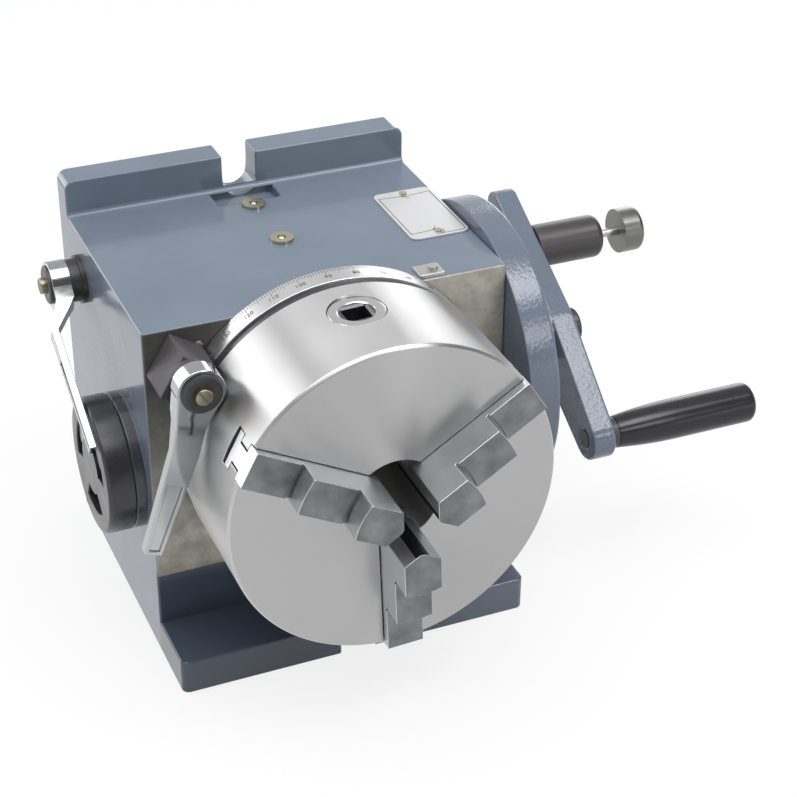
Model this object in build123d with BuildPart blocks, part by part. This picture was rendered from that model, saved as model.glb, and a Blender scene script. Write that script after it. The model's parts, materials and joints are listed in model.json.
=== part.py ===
from build123d import *
import math
import os

os.makedirs("parts", exist_ok=True)

# Fits and clearances
run_fit = 0.05
seat_fit = 0.05
side_gap = 0.3
screw_gap = 0.15
cut_over = 1.0
hex_sides = 6
quarter = 90

# Body casting
body_width = 142.8
body_depth = 113.5
body_top = 143.0
foot_reach = 26.9
foot_height = 14.5
flange_thickness = 12.8
flange_rise = 14.9
flange_corner = 4.0
foot_corner = 3.0
slot_width = 14.0
foot_slot_run = 19.0
flange_slot_floor = 139.6
relief_width = 26.0
relief_run = 13.0
relief_depth = 3.6
machined_bottom = 36.4
paint_step = 0.8
root_fillet = 2.0
side_wall = 21.4
cavity_front = 23.0
rear_wall = 29.5
cavity_floor = 44.0
cavity_roof = 128.0
hatch_half = 36.0
hatch_margin = 3.0

# Spindle line
spindle_z = 93.8
journal_front_r = 24.0
front_bush_r = 30.0
front_bush_flange_r = 33.8
front_bush_flange = 4.0
bush_recess = 0.1
shoulder_r = 20.0
wheel_seat_r = 17.0
spindle_bore_r = 10.0
taper_r = 11.9
taper_run = 38.0
rear_journal_r = 16.0
rear_bush_r = 21.0
rear_bush_flange_r = 25.0
rear_bush_flange = 4.0
rear_well_r = 26.0
rear_well_depth = 13.5
rear_thread_r = 14.5
spindle_short = 2.5
spindle_nut_r = 23.0
spindle_nut_width = 6.2
spindle_nut_flats = 4.0
spindle_nut_notches = 4

# Worm and wheel
wheel_teeth = 40
worm_module = 1.2
wheel_y = 34.0
wheel_width = 9.0
wheel_hub_run = 7.0
wheel_hub_r = 20.5
tooth_addendum = 1.1
tooth_dedendum = 1.4
tooth_thickness = 1.53
pressure_angle = 20.0
thread_turns = 8
thread_overlap = 0.6
worm_body_r = 7.0
worm_journal_r = 6.0
worm_gear_seat_r = 5.0
worm_thread_end_r = 4.5
key_width = 5.0
key_height = 4.6
key_sink = 2.4

# Crank line and one to one gears
crank_y = 34.0
crank_z = 88.5
gear_teeth = 14
gear_module = 2.0
gear_addendum = 1.8
gear_dedendum = 2.4
gear_thickness = 2.6
gear_width = 7.0
gear_flank_points = 5

# Left boss and its end cover
boss_y = 31.5
boss_z = 72.1
boss_r = 26.6
boss_run = 4.6
cover_run = 10.5
cover_edge = 1.0
sleeve_r = 11.5
worm_nut_r = 8.5
worm_nut_width = 3.8
nut_room = 1.0
arc_slot_r = 15.0
arc_slot_width = 8.0
arc_slot_inner_width = 6.4
arc_slot_depth = 4.0
arc_slot_half = 34.0
arc_slot_angles = (20.0, 140.0, 260.0)
cover_screw_angles = (20.0, 140.0)
cover_screw_head_r = 3.7
cover_screw_head = 3.0
cover_screw_r = 2.8
cover_screw_run = 14.0

# Side housing and index plate
housing_r = 60.5
housing_run = 12.6
housing_edge = 1.5
gear_room_r = 17.5
gear_room_depth = 10.0
housing_screw_circle = 54.0
housing_screw_angles = (0.0, 58.0, -45.0, -90.0)
housing_screw_head_r = 4.6
housing_screw_head = 3.0
housing_screw_r = 3.0
housing_screw_run = 26.0
worm_bush_r = 9.0
worm_bush_flange_r = 11.0
worm_bush_flange = 2.0
plate_r = 48.5
plate_thickness = 3.2
plate_centre_r = 13.4
plate_hole_r = 1.9
plate_circle_outer = 38.5
plate_holes_outer = 24
plate_circle_inner = 29.0
plate_holes_inner = 18
plate_screw_circle = 20.0
plate_screw_r = 2.0
plate_screw_head_r = 3.4
plate_screw_head = 1.8
plate_screw_count = 3

# Crank
crank_bush_r = 9.0
crank_bush_flange_r = 13.0
crank_bush_flange = 3.6
crank_shaft_r = 6.5
crank_gear_seat_r = 6.0
crank_pilot_r = 5.0
crank_pilot_run = 11.0
crank_hub_seat_r = 5.5
crank_hub_r = 12.5
crank_hub_gap = 0.8
arm_stand = 18.8
arm_thickness = 10.0
arm_angle = 34.5
arm_tip_reach = 61.2
arm_tip_r = 5.5
arm_handle_reach = 49.5
arm_handle_r = 9.0
arm_edge = 1.2
crank_nut_r = 7.4
crank_nut_run = 5.0
crank_thread_r = 4.0
plunger_r = 9.0
plunger_run = 30.0
plunger_edge = 3.0
plunger_wall = 2.0
nose_r = 5.0
nose_bore_r = 2.6
nose_gap = 1.2
spring_bore_r = 5.0
spring_room = 15.0
pin_r = 2.4
pin_tip_r = 1.6
pin_tip_run = 4.0
pin_gap = 0.4
pin_collar_r = 4.6
pin_collar_run = 2.5
rod_r = 1.8
knob_gap = 9.5
knob_r = 9.4
knob_run = 9.4
knob_edge = 2.0
knob_sink = 6.0
spring_r = 3.6
spring_wire_r = 0.5
spring_turns = 4
handle_post_r = 3.5
handle_collar_r = 6.4
handle_collar = 3.0
grip_run = 63.0
grip_root_r = 6.5
grip_end_r = 8.3
grip_swell = 27.0
grip_swell_slope = 0.12
grip_dome = 3.0
grip_float = 0.3
grip_floor = 5.0

# Chuck
chuck_turn = 2.5
chuck_r = 62.5
chuck_face_y = -63.6
chuck_rear_y = -14.3
chuck_bore_r = 16.9
face_chamfer = 1.0
jaw_count = 3
jaw_first = 30.0
pinion_first = 90.0
jaw_half = 7.0
jaw_gap = 0.25
jaw_base = 13.2
way_floor_gap = 2.4
rib_top = 3.0
rib_floor = 9.8
rib_reach = 2.95
rib_gap = 0.2
rib_side_gap = 0.7
jaw_nose = 8.0
jaw_land_half = 0.8
jaw_nose_angle = 120.0
jaw_end = 62.2
jaw_height = 23.0
jaw_step_inner = 25.2
jaw_step_outer = 43.9
jaw_step_drop = 9.7
jaw_relief = 1.0
scroll_pitch = 6.0
scroll_start = 24.4
scroll_quarters = 19
scroll_groove = 3.2
scroll_groove_depth = 2.6
scroll_gap = 0.6
scroll_bore_r = 22.0
scroll_r = 54.0
scroll_back_y = -40.2
jaw_tooth = 2.0
jaw_tooth_half = 3.0
jaw_tooth_height = 4.1
jaw_tooth_rows = 3
jaw_tooth_first = 30.5
notch_count = 60
notch_width = 3.0
notch_floor_y = -43.5
notch_inner = 36.0
notch_outer = 44.0
pinion_y = -33.4
pinion_teeth = 12
fin_thickness = 1.2
fin_inner = 37.5
fin_outer = 42.5
fin_tip_r = 9.0
pinion_shaft_r = 6.45
pinion_root_r = 5.9
pinion_inner = 31.0
pinion_neck = 54.9
pinion_end = 61.4
pinion_head_r = 10.65
pinion_edge = 0.6
pinion_head_gap = 0.1
socket_side = 9.0
socket_depth = 9.0
socket_lead = 0.8
pocket_face = 14.6
pocket_hub_r = 21.9
pocket_r = 54.4
cover_seat_r = 57.0
cover_seat_y = -22.0
cover_front_y = -37.0
fin_room_r = 10.2
fin_room_side = 1.0
cover_land_r = 46.0
cover_gap = 0.1
back_plate_r = 60.9
back_plate_run = 4.3
spigot_r = 29.9
spindle_flange_r = 40.0
ring_r = 61.9
ring_gap = 0.4
flange_gap = 0.2
chuck_bolt_circle = 35.0
chuck_bolt_r = 3.0
chuck_bolt_head_r = 4.4
chuck_bolt_head = 4.0
chuck_bolt_run = 24.0

# Base hatch
hatch_edge = 8.0
hatch_plate = 5.0
hatch_recess = 1.0
hatch_screw_r = 2.0
hatch_screw_head_r = 3.6
hatch_screw_head = 2.0
hatch_screw_run = 12.0

# Small pieces on the top face
oiler_insets = (49.7, 17.3)
oiler_r = 4.6
oiler_rim = 1.2
oiler_stem_r = 3.0
oiler_stem = 7.0
oiler_ball_r = 1.6
oiler_ball_proud = 0.3
name_width = 24.4
name_run = 42.0
name_side_inset = 1.0
name_back_inset = 28.5
name_thickness = 0.8
name_corner = 3.0
rivet_inset = 3.4
rivet_r = 1.5
rivet_shank_r = 0.9
rivet_head = 0.7
rivet_run = 5.0
pointer_left = 36.4
pointer_right = 46.4
pointer_front = 0.8
pointer_back = 8.8
pointer_height = 1.6
pointer_screw_x = 43.2
pointer_screw_y = 5.2
pointer_screw_r = 1.2
pointer_screw_head_r = 2.0
pointer_screw_head = 1.0
pointer_screw_run = 6.0

# Ring clamp on the front face
block_angle = 148.6
block_inner = 63.4
block_outer = 77.4
block_half = 8.9
block_run = 17.7
clamp_x = -59.6
clamp_z = 134.1
clamp_shaft_r = 4.0
clamp_shaft_run = 8.0
clamp_lever_end = (-81.5, 73.4)
clamp_hub_r = 8.9
clamp_hub_run = 7.8
clamp_arm_low = 6.4
clamp_arm_high = 11.0
block_collar_r = 6.4
block_collar = 6.2

# Side lever
side_inset = 29.5
side_z = 124.0
side_bush_r = 8.5
side_bush_collar_r = 9.6
side_bush_collar = 2.0
side_bush_run = 6.0
side_shaft_r = 4.5
side_shaft_depth = 30.0
side_lever_end = (16.0, 89.0)
side_hub_r = 9.0
side_hub_run = 7.5
side_arm_low = 9.6
side_arm_high = 12.4
clamp_slim = 1.0
side_slim = 0.6
lever_half = 4.8
lever_end_half = 3.4
lever_waist = 14.0
lever_waist_half = 5.6
lever_grip = 31.0
lever_neck = 10.5
lever_knee = 23.0
flute_start = 36.0
flute_half = 2.9
flute_end_half = 1.9
flute_end_rim = 1.4
flute_depth = 1.0
lever_washer_r = 7.6
lever_washer = 1.0
lever_screw_head_r = 3.0
lever_screw_head = 1.8
lever_screw_r = 1.8

# Derived positions
body_half = body_width / 2
cavity_half = body_half - side_wall
cavity_back = body_depth - rear_wall
cavity_y = (cavity_front + cavity_back) / 2
hatch_run = cavity_back - cavity_front - 2 * hatch_margin
rear_well_floor = body_depth - rear_well_depth
spindle_end = body_depth - spindle_short
flange_front = body_depth - flange_thickness
flange_top = body_top + flange_rise
wheel_pitch_r = wheel_teeth * worm_module / 2
gear_pitch_r = gear_teeth * gear_module / 2
worm_z = crank_z - 2 * gear_pitch_r
worm_y = crank_y
worm_pitch_r = spindle_z - worm_z - wheel_pitch_r
worm_pitch = math.pi * worm_module
lead_angle = math.atan2(worm_pitch, 2 * math.pi * worm_pitch_r)
flank_slope = math.tan(math.radians(pressure_angle))
wheel_front = wheel_y - wheel_width / 2
wheel_back = wheel_y + wheel_width / 2
thread_half = thread_turns * worm_pitch / 2
rear_shoulder = rear_well_floor + rear_bush_flange + side_gap
flange_rear_y = -flange_gap
ring_front_y = chuck_rear_y + back_plate_run
housing_face = body_half + housing_run
plate_face = housing_face + plate_thickness
boss_face = -body_half - boss_run
cover_face = boss_face - cover_run
crank_hub_start = housing_face + crank_bush_flange + crank_hub_gap
arm_inner = plate_face + arm_stand
arm_outer = arm_inner + arm_thickness
arm_cos = math.cos(math.radians(arm_angle))
arm_sin = math.sin(math.radians(arm_angle))
plunger_y = crank_y + plate_circle_outer * arm_cos
plunger_z = crank_z + plate_circle_outer * arm_sin
handle_y = crank_y - arm_handle_reach * arm_cos
handle_z = crank_z - arm_handle_reach * arm_sin
jaw_angles = [chuck_turn + jaw_first + 360 / jaw_count * k for k in range(jaw_count)]
pinion_angles = [chuck_turn + pinion_first + 360 / jaw_count * k for k in range(jaw_count)]
spiral_step = scroll_pitch / 4
slot_half = jaw_half + jaw_gap
rib_half = slot_half - rib_reach
web_half = rib_half - rib_side_gap
jaw_flank = (jaw_half - jaw_land_half) / math.tan(math.radians(jaw_nose_angle / 2))
jaw_base_y = chuck_face_y + jaw_base
pocket_front_y = chuck_face_y + pocket_face
scroll_front_y = pocket_front_y + scroll_gap
bolt_seat_y = flange_rear_y - flange_gap - chuck_bolt_head
oiler_rows = [flange_front - inset for inset in oiler_insets]
name_x = body_half - name_side_inset - name_width / 2
name_y = flange_front - name_back_inset - name_run / 2
rivet_rows = (name_y - name_run / 2 + rivet_inset, name_y + name_run / 2 - rivet_inset)
side_y = body_depth - side_inset


def chuck_plane(y):
    return Plane(origin=(0, y, spindle_z), x_dir=(1, 0, 0), z_dir=(0, -1, 0))


def spindle_plane(y):
    return Plane(origin=(0, y, spindle_z), x_dir=(1, 0, 0), z_dir=(0, 1, 0))


def cross_plane(x, y, z):
    return Plane(origin=(x, y, z), x_dir=(0, 1, 0), z_dir=(1, 0, 0))


def radial_plane(angle, y, reach):
    c = math.cos(math.radians(angle))
    s = math.sin(math.radians(angle))
    return Plane(origin=(reach * c, y, spindle_z + reach * s), x_dir=(-s, 0, c), z_dir=(c, 0, s))


def jaw_plane(angle, y):
    c = math.cos(math.radians(angle))
    s = math.sin(math.radians(angle))
    return Plane(origin=(0, y, spindle_z), x_dir=(c, 0, s), z_dir=(0, -1, 0))


def front_plane(x, y, z):
    return Plane(origin=(x, y, z), x_dir=(1, 0, 0), z_dir=(0, -1, 0))


# Body casting
with BuildPart() as body_casting:
    with BuildSketch(Plane.XY):
        with Locations((0, body_depth / 2)):
            Rectangle(body_width, body_depth)
    extrude(amount=body_top)
    with BuildSketch(Plane.XY):
        with Locations((0, -foot_reach / 2)):
            Rectangle(body_width, foot_reach)
    extrude(amount=foot_height)
    with BuildSketch(Plane.XY.offset(body_top)):
        with Locations((0, flange_front + flange_thickness / 2)):
            Rectangle(body_width, flange_thickness)
    extrude(amount=flange_rise)
    crosswise = body_casting.edges().filter_by(Axis.X)
    flange_root = crosswise.filter_by_position(Axis.Y, flange_front - side_gap, flange_front + side_gap)
    fillet(flange_root.filter_by_position(Axis.Z, body_top - side_gap, body_top + side_gap), root_fillet)
    lengthwise = body_casting.edges().filter_by(Axis.Y)
    fillet(lengthwise.filter_by_position(Axis.Z, flange_top - side_gap, flange_top + side_gap), flange_corner)
    upright = body_casting.edges().filter_by(Axis.Z)
    fillet(upright.filter_by_position(Axis.Y, -foot_reach - side_gap, -foot_reach + side_gap), foot_corner)
    with BuildSketch(front_plane(0, paint_step, (foot_height + machined_bottom) / 2)):
        Rectangle(body_width, machined_bottom - foot_height)
    extrude(amount=paint_step, mode=Mode.SUBTRACT)
    with BuildSketch(cross_plane(-body_half, boss_y, boss_z)):
        Circle(boss_r)
    extrude(amount=-boss_run)
    with BuildSketch(Plane.XY):
        with Locations((0, -foot_reach + foot_slot_run / 2)):
            Rectangle(slot_width, foot_slot_run)
        with Locations((0, -foot_reach + foot_slot_run)):
            Circle(slot_width / 2)
    extrude(amount=foot_height, mode=Mode.SUBTRACT)
    with BuildSketch(front_plane(0, body_depth, flange_slot_floor + slot_width / 2)):
        Circle(slot_width / 2)
        with Locations((0, flange_rise / 2)):
            Rectangle(slot_width, flange_rise)
    extrude(amount=flange_thickness, mode=Mode.SUBTRACT)
    with BuildSketch(Plane.XY.offset(body_top)):
        with Locations((0, flange_front - relief_run / 2)):
            RectangleRounded(relief_width, relief_run, root_fillet)
    extrude(amount=-relief_depth, mode=Mode.SUBTRACT)
    with BuildSketch(Plane.XY.offset(cavity_floor)):
        with Locations((0, cavity_y)):
            Rectangle(2 * cavity_half, cavity_back - cavity_front)
    extrude(amount=cavity_roof - cavity_floor, mode=Mode.SUBTRACT)
    with BuildSketch(Plane.XY):
        with Locations((0, cavity_y)):
            Rectangle(2 * hatch_half, hatch_run)
    extrude(amount=cavity_floor, mode=Mode.SUBTRACT)
    with BuildSketch(Plane.XY):
        with Locations((0, cavity_y)):
            Rectangle(2 * (hatch_half + hatch_edge + side_gap), hatch_run + 2 * (hatch_edge + side_gap))
    extrude(amount=hatch_plate + hatch_recess, mode=Mode.SUBTRACT)
    with BuildSketch(Plane.XY.offset(hatch_plate + hatch_recess)):
        with Locations((0, cavity_y)):
            with GridLocations(2 * hatch_half + hatch_edge, hatch_run + hatch_edge, 2, 2):
                Circle(hatch_screw_r + screw_gap)
    extrude(amount=hatch_screw_run, mode=Mode.SUBTRACT)
    with BuildSketch(spindle_plane(0)):
        Circle(front_bush_r + seat_fit)
    extrude(amount=cavity_front, mode=Mode.SUBTRACT)
    with BuildSketch(spindle_plane(0)):
        Circle(front_bush_flange_r + seat_fit)
    extrude(amount=front_bush_flange, mode=Mode.SUBTRACT)
    with BuildSketch(spindle_plane(cavity_back)):
        Circle(rear_bush_r + seat_fit)
    extrude(amount=body_depth - cavity_back, mode=Mode.SUBTRACT)
    with BuildSketch(spindle_plane(rear_well_floor)):
        Circle(rear_well_r)
    extrude(amount=body_depth - rear_well_floor, mode=Mode.SUBTRACT)
    with BuildSketch(cross_plane(boss_face, worm_y, worm_z)):
        Circle(sleeve_r + seat_fit)
    extrude(amount=-boss_face - cavity_half, mode=Mode.SUBTRACT)
    with BuildSketch(cross_plane(cavity_half, worm_y, worm_z)):
        Circle(worm_bush_r + seat_fit)
    extrude(amount=body_half - cavity_half, mode=Mode.SUBTRACT)
    with BuildSketch(cross_plane(body_half, worm_y, worm_z)):
        Circle(worm_bush_flange_r + seat_fit)
    extrude(amount=-worm_bush_flange, mode=Mode.SUBTRACT)
    with BuildSketch(cross_plane(body_half, crank_y, crank_z)):
        Circle(crank_pilot_r + run_fit)
    extrude(amount=-crank_pilot_run - side_gap, mode=Mode.SUBTRACT)
    with BuildSketch(cross_plane(boss_face, boss_y, boss_z)):
        for angle in cover_screw_angles:
            with PolarLocations(arc_slot_r, 1, start_angle=angle):
                Circle(cover_screw_r + screw_gap)
    extrude(amount=cover_screw_run, mode=Mode.SUBTRACT)
    with BuildSketch(cross_plane(body_half, crank_y, crank_z)):
        for angle in housing_screw_angles:
            with PolarLocations(housing_screw_circle, 1, start_angle=angle):
                Circle(housing_screw_r + screw_gap)
    extrude(amount=-(housing_screw_run - housing_run), mode=Mode.SUBTRACT)
    with BuildSketch(Plane.XY.offset(body_top)):
        for row in oiler_rows:
            with Locations((0, row)):
                Circle(oiler_stem_r + seat_fit)
    extrude(amount=-oiler_stem, mode=Mode.SUBTRACT)
    with BuildSketch(Plane.XY.offset(body_top)):
        for row in rivet_rows:
            with Locations((name_x, row)):
                Circle(rivet_shank_r + seat_fit)
    extrude(amount=-rivet_run, mode=Mode.SUBTRACT)
    with BuildSketch(Plane.XY.offset(body_top)):
        with Locations((pointer_screw_x, pointer_screw_y)):
            Circle(pointer_screw_r + seat_fit)
    extrude(amount=-pointer_screw_run, mode=Mode.SUBTRACT)
    with BuildSketch(front_plane(clamp_x, 0, clamp_z)):
        Circle(clamp_shaft_r + run_fit)
    extrude(amount=-clamp_shaft_run - side_gap, mode=Mode.SUBTRACT)
    with BuildSketch(cross_plane(-body_half, side_y, side_z)):
        Circle(side_shaft_r + run_fit)
    extrude(amount=side_shaft_depth + side_gap, mode=Mode.SUBTRACT)
body_casting.part.label = "body_casting"
export_step(body_casting.part, "parts/body_casting.step")

# Hatch plate under the base
with BuildPart() as base_hatch:
    with BuildSketch(Plane.XY.offset(hatch_recess)):
        with Locations((0, cavity_y)):
            Rectangle(2 * (hatch_half + hatch_edge), hatch_run + 2 * hatch_edge)
    extrude(amount=hatch_plate)
    with BuildSketch(Plane.XY.offset(hatch_recess)):
        with Locations((0, cavity_y)):
            with GridLocations(2 * hatch_half + hatch_edge, hatch_run + hatch_edge, 2, 2):
                Circle(hatch_screw_r + screw_gap)
    extrude(amount=hatch_plate, mode=Mode.SUBTRACT)
    with BuildSketch(Plane.XY.offset(hatch_recess)):
        with Locations((0, cavity_y)):
            with GridLocations(2 * hatch_half + hatch_edge, hatch_run + hatch_edge, 2, 2):
                Circle(hatch_screw_head_r + screw_gap)
    extrude(amount=hatch_screw_head, mode=Mode.SUBTRACT)
base_hatch.part.label = "base_hatch"
export_step(base_hatch.part, "parts/base_hatch.step")

with BuildPart() as hatch_screws:
    with BuildSketch(Plane.XY.offset(hatch_recess)):
        with Locations((0, cavity_y)):
            with GridLocations(2 * hatch_half + hatch_edge, hatch_run + hatch_edge, 2, 2):
                Circle(hatch_screw_head_r)
    extrude(amount=hatch_screw_head)
    with BuildSketch(Plane.XY.offset(hatch_recess)):
        with Locations((0, cavity_y)):
            with GridLocations(2 * hatch_half + hatch_edge, hatch_run + hatch_edge, 2, 2):
                Circle(hatch_screw_r)
    extrude(amount=hatch_screw_run)
hatch_screws.part.label = "hatch_screws"
export_step(hatch_screws.part, "parts/hatch_screws.step")

# Plain bearings of the spindle
with BuildPart() as front_bush:
    with BuildSketch(spindle_plane(bush_recess)):
        Circle(front_bush_r)
    extrude(amount=cavity_front - bush_recess)
    with BuildSketch(spindle_plane(bush_recess)):
        Circle(front_bush_flange_r)
    extrude(amount=front_bush_flange - bush_recess)
    with BuildSketch(spindle_plane(bush_recess)):
        Circle(journal_front_r + run_fit)
    extrude(amount=cavity_front, mode=Mode.SUBTRACT)
front_bush.part.label = "front_bush"
export_step(front_bush.part, "parts/front_bush.step")

with BuildPart() as rear_bush:
    with BuildSketch(spindle_plane(cavity_back)):
        Circle(rear_bush_r)
    extrude(amount=rear_well_floor - cavity_back)
    with BuildSketch(spindle_plane(rear_well_floor)):
        Circle(rear_bush_flange_r)
    extrude(amount=rear_bush_flange)
    with BuildSketch(spindle_plane(cavity_back)):
        Circle(rear_journal_r + run_fit)
    extrude(amount=body_depth - cavity_back, mode=Mode.SUBTRACT)
rear_bush.part.label = "rear_bush"
export_step(rear_bush.part, "parts/rear_bush.step")

# Spindle with its flange, spigot and taper
with BuildPart() as spindle:
    with BuildSketch(Plane.YZ):
        with BuildLine():
            Polyline(
                (chuck_rear_y, spindle_z),
                (chuck_rear_y, spindle_z + spigot_r),
                (ring_front_y, spindle_z + spigot_r),
                (ring_front_y, spindle_z + spindle_flange_r),
                (flange_rear_y, spindle_z + spindle_flange_r),
                (flange_rear_y, spindle_z + journal_front_r),
                (cavity_front, spindle_z + journal_front_r),
                (cavity_front, spindle_z + shoulder_r),
                (wheel_front, spindle_z + shoulder_r),
                (wheel_front, spindle_z + wheel_seat_r),
                (wheel_back + wheel_hub_run, spindle_z + wheel_seat_r),
                (wheel_back + wheel_hub_run, spindle_z + rear_journal_r),
                (rear_shoulder, spindle_z + rear_journal_r),
                (rear_shoulder, spindle_z + rear_thread_r),
                (spindle_end, spindle_z + rear_thread_r),
                (spindle_end, spindle_z),
                close=True,
            )
        make_face()
    revolve(axis=Axis((0, 0, spindle_z), (0, 1, 0)))
    with BuildSketch(spindle_plane(chuck_rear_y)):
        Circle(spindle_bore_r)
    extrude(amount=spindle_end - chuck_rear_y, mode=Mode.SUBTRACT)
    with BuildSketch(Plane.YZ):
        with BuildLine():
            Polyline(
                (chuck_rear_y, spindle_z),
                (chuck_rear_y, spindle_z + taper_r),
                (chuck_rear_y + taper_run, spindle_z + spindle_bore_r),
                (chuck_rear_y + taper_run, spindle_z),
                close=True,
            )
        make_face()
    revolve(axis=Axis((0, 0, spindle_z), (0, 1, 0)), mode=Mode.SUBTRACT)
    with BuildSketch(chuck_plane(flange_rear_y)):
        with PolarLocations(chuck_bolt_circle, jaw_count, start_angle=chuck_turn):
            Circle(chuck_bolt_r + screw_gap)
    extrude(amount=flange_rear_y - ring_front_y, mode=Mode.SUBTRACT)
    with BuildSketch(chuck_plane(flange_rear_y)):
        with PolarLocations(chuck_bolt_circle, jaw_count, start_angle=chuck_turn):
            Circle(chuck_bolt_head_r + screw_gap)
    extrude(amount=chuck_bolt_head + flange_gap, mode=Mode.SUBTRACT)
    with BuildSketch(spindle_plane(wheel_front)):
        with Locations((0, -(wheel_seat_r - key_sink + key_height / 2))):
            Rectangle(key_width + 2 * seat_fit, key_height)
    extrude(amount=wheel_width, mode=Mode.SUBTRACT)
spindle.part.label = "spindle"
export_step(spindle.part, "parts/spindle.step")

# Worm wheel on the spindle
with BuildPart() as tooth_space:
    with BuildSketch(Plane(origin=(0, 0, 0), x_dir=(math.cos(lead_angle), 0, math.sin(lead_angle)),
                           z_dir=(-math.sin(lead_angle), 0, math.cos(lead_angle)))):
        with BuildLine():
            space_half = (worm_pitch - tooth_thickness) / 2
            Polyline(
                (-space_half + tooth_dedendum * flank_slope, wheel_pitch_r - tooth_dedendum),
                (space_half - tooth_dedendum * flank_slope, wheel_pitch_r - tooth_dedendum),
                (space_half + 2 * tooth_addendum * flank_slope, wheel_pitch_r + 2 * tooth_addendum),
                (-space_half - 2 * tooth_addendum * flank_slope, wheel_pitch_r + 2 * tooth_addendum),
                close=True,
            )
        make_face()
    extrude(amount=wheel_width, both=True)

with BuildPart(spindle_plane(wheel_y)) as worm_wheel:
    Cylinder(wheel_pitch_r + tooth_addendum, wheel_width)
    with PolarLocations(0, wheel_teeth):
        add(tooth_space.part, mode=Mode.SUBTRACT)
    with BuildSketch(spindle_plane(wheel_back)):
        Circle(wheel_hub_r)
    extrude(amount=wheel_hub_run)
    with BuildSketch(spindle_plane(wheel_front)):
        Circle(wheel_seat_r + seat_fit)
    extrude(amount=wheel_width + wheel_hub_run, mode=Mode.SUBTRACT)
    with BuildSketch(spindle_plane(wheel_front)):
        with Locations((0, -(wheel_seat_r - key_sink + key_height / 2 + seat_fit))):
            Rectangle(key_width + 2 * seat_fit, key_height)
    extrude(amount=wheel_width + wheel_hub_run, mode=Mode.SUBTRACT)
worm_wheel.part.label = "worm_wheel"
export_step(worm_wheel.part, "parts/worm_wheel.step")

with BuildPart() as wheel_key:
    with BuildSketch(spindle_plane(wheel_front)):
        with Locations((0, -(wheel_seat_r - key_sink + key_height / 2))):
            Rectangle(key_width, key_height)
    extrude(amount=wheel_width)
wheel_key.part.label = "wheel_key"
export_step(wheel_key.part, "parts/wheel_key.step")

with BuildPart() as spindle_nut:
    with BuildSketch(spindle_plane(rear_shoulder)):
        Circle(spindle_nut_r)
        Circle(rear_thread_r + seat_fit, mode=Mode.SUBTRACT)
        with PolarLocations(spindle_nut_r, spindle_nut_notches):
            Rectangle(spindle_nut_flats, spindle_nut_flats, mode=Mode.SUBTRACT)
    extrude(amount=spindle_nut_width)
spindle_nut.part.label = "spindle_nut"
export_step(spindle_nut.part, "parts/spindle_nut.step")

# Worm shaft with its thread
with BuildPart() as worm_shaft:
    worm_root_r = worm_pitch_r - tooth_dedendum
    worm_stub = boss_face - side_gap
    with BuildSketch(Plane.XZ.offset(-worm_y)):
        with BuildLine():
            Polyline(
                (worm_stub - worm_nut_width, worm_z),
                (worm_stub - worm_nut_width, worm_z + worm_thread_end_r),
                (worm_stub, worm_z + worm_thread_end_r),
                (worm_stub, worm_z + worm_journal_r),
                (-cavity_half + side_gap, worm_z + worm_journal_r),
                (-cavity_half + side_gap, worm_z + worm_body_r),
                (-thread_half - worm_pitch, worm_z + worm_body_r),
                (-thread_half - worm_pitch, worm_z + worm_root_r),
                (thread_half + worm_pitch, worm_z + worm_root_r),
                (thread_half + worm_pitch, worm_z + worm_body_r),
                (cavity_half - side_gap, worm_z + worm_body_r),
                (cavity_half - side_gap, worm_z + worm_journal_r),
                (body_half + side_gap, worm_z + worm_journal_r),
                (body_half + side_gap, worm_z + worm_gear_seat_r),
                (body_half + side_gap + gear_width, worm_z + worm_gear_seat_r),
                (body_half + side_gap + gear_width, worm_z),
                close=True,
            )
        make_face()
    revolve(axis=Axis((0, worm_y, worm_z), (1, 0, 0)))
    with BuildLine() as thread_path:
        Helix(pitch=worm_pitch, height=2 * thread_half, radius=worm_root_r,
              center=(-thread_half, worm_y, worm_z), direction=(1, 0, 0))
    with BuildSketch(Plane(origin=thread_path.line @ 0, x_dir=(0, 0, 1), z_dir=thread_path.line % 0)):
        with BuildLine():
            thread_base = tooth_thickness / 2 + (tooth_dedendum + thread_overlap) * flank_slope
            thread_crest = tooth_thickness / 2 - tooth_addendum * flank_slope
            Polyline(
                (-thread_overlap, -thread_base),
                (-thread_overlap, thread_base),
                (tooth_dedendum + tooth_addendum, thread_crest),
                (tooth_dedendum + tooth_addendum, -thread_crest),
                close=True,
            )
        make_face()
    sweep(is_frenet=True)
worm_shaft.part.label = "worm_shaft"
export_step(worm_shaft.part, "parts/worm_shaft.step")

with BuildPart() as worm_nut:
    with BuildSketch(cross_plane(boss_face - side_gap, worm_y, worm_z)):
        RegularPolygon(worm_nut_r, hex_sides)
        Circle(worm_thread_end_r + seat_fit, mode=Mode.SUBTRACT)
    extrude(amount=-worm_nut_width)
worm_nut.part.label = "worm_nut"
export_step(worm_nut.part, "parts/worm_nut.step")

# Worm bearings and the cover of the left boss
with BuildPart() as worm_sleeve:
    with BuildSketch(cross_plane(boss_face, worm_y, worm_z)):
        Circle(sleeve_r)
        Circle(worm_journal_r + run_fit, mode=Mode.SUBTRACT)
    extrude(amount=-boss_face - cavity_half)
worm_sleeve.part.label = "worm_sleeve"
export_step(worm_sleeve.part, "parts/worm_sleeve.step")

with BuildPart() as worm_bush:
    with BuildSketch(cross_plane(cavity_half, worm_y, worm_z)):
        Circle(worm_bush_r)
    extrude(amount=body_half - cavity_half)
    with BuildSketch(cross_plane(body_half, worm_y, worm_z)):
        Circle(worm_bush_flange_r)
    extrude(amount=-worm_bush_flange)
    with BuildSketch(cross_plane(cavity_half, worm_y, worm_z)):
        Circle(worm_journal_r + run_fit)
    extrude(amount=body_half - cavity_half, mode=Mode.SUBTRACT)
worm_bush.part.label = "worm_bush"
export_step(worm_bush.part, "parts/worm_bush.step")

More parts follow.
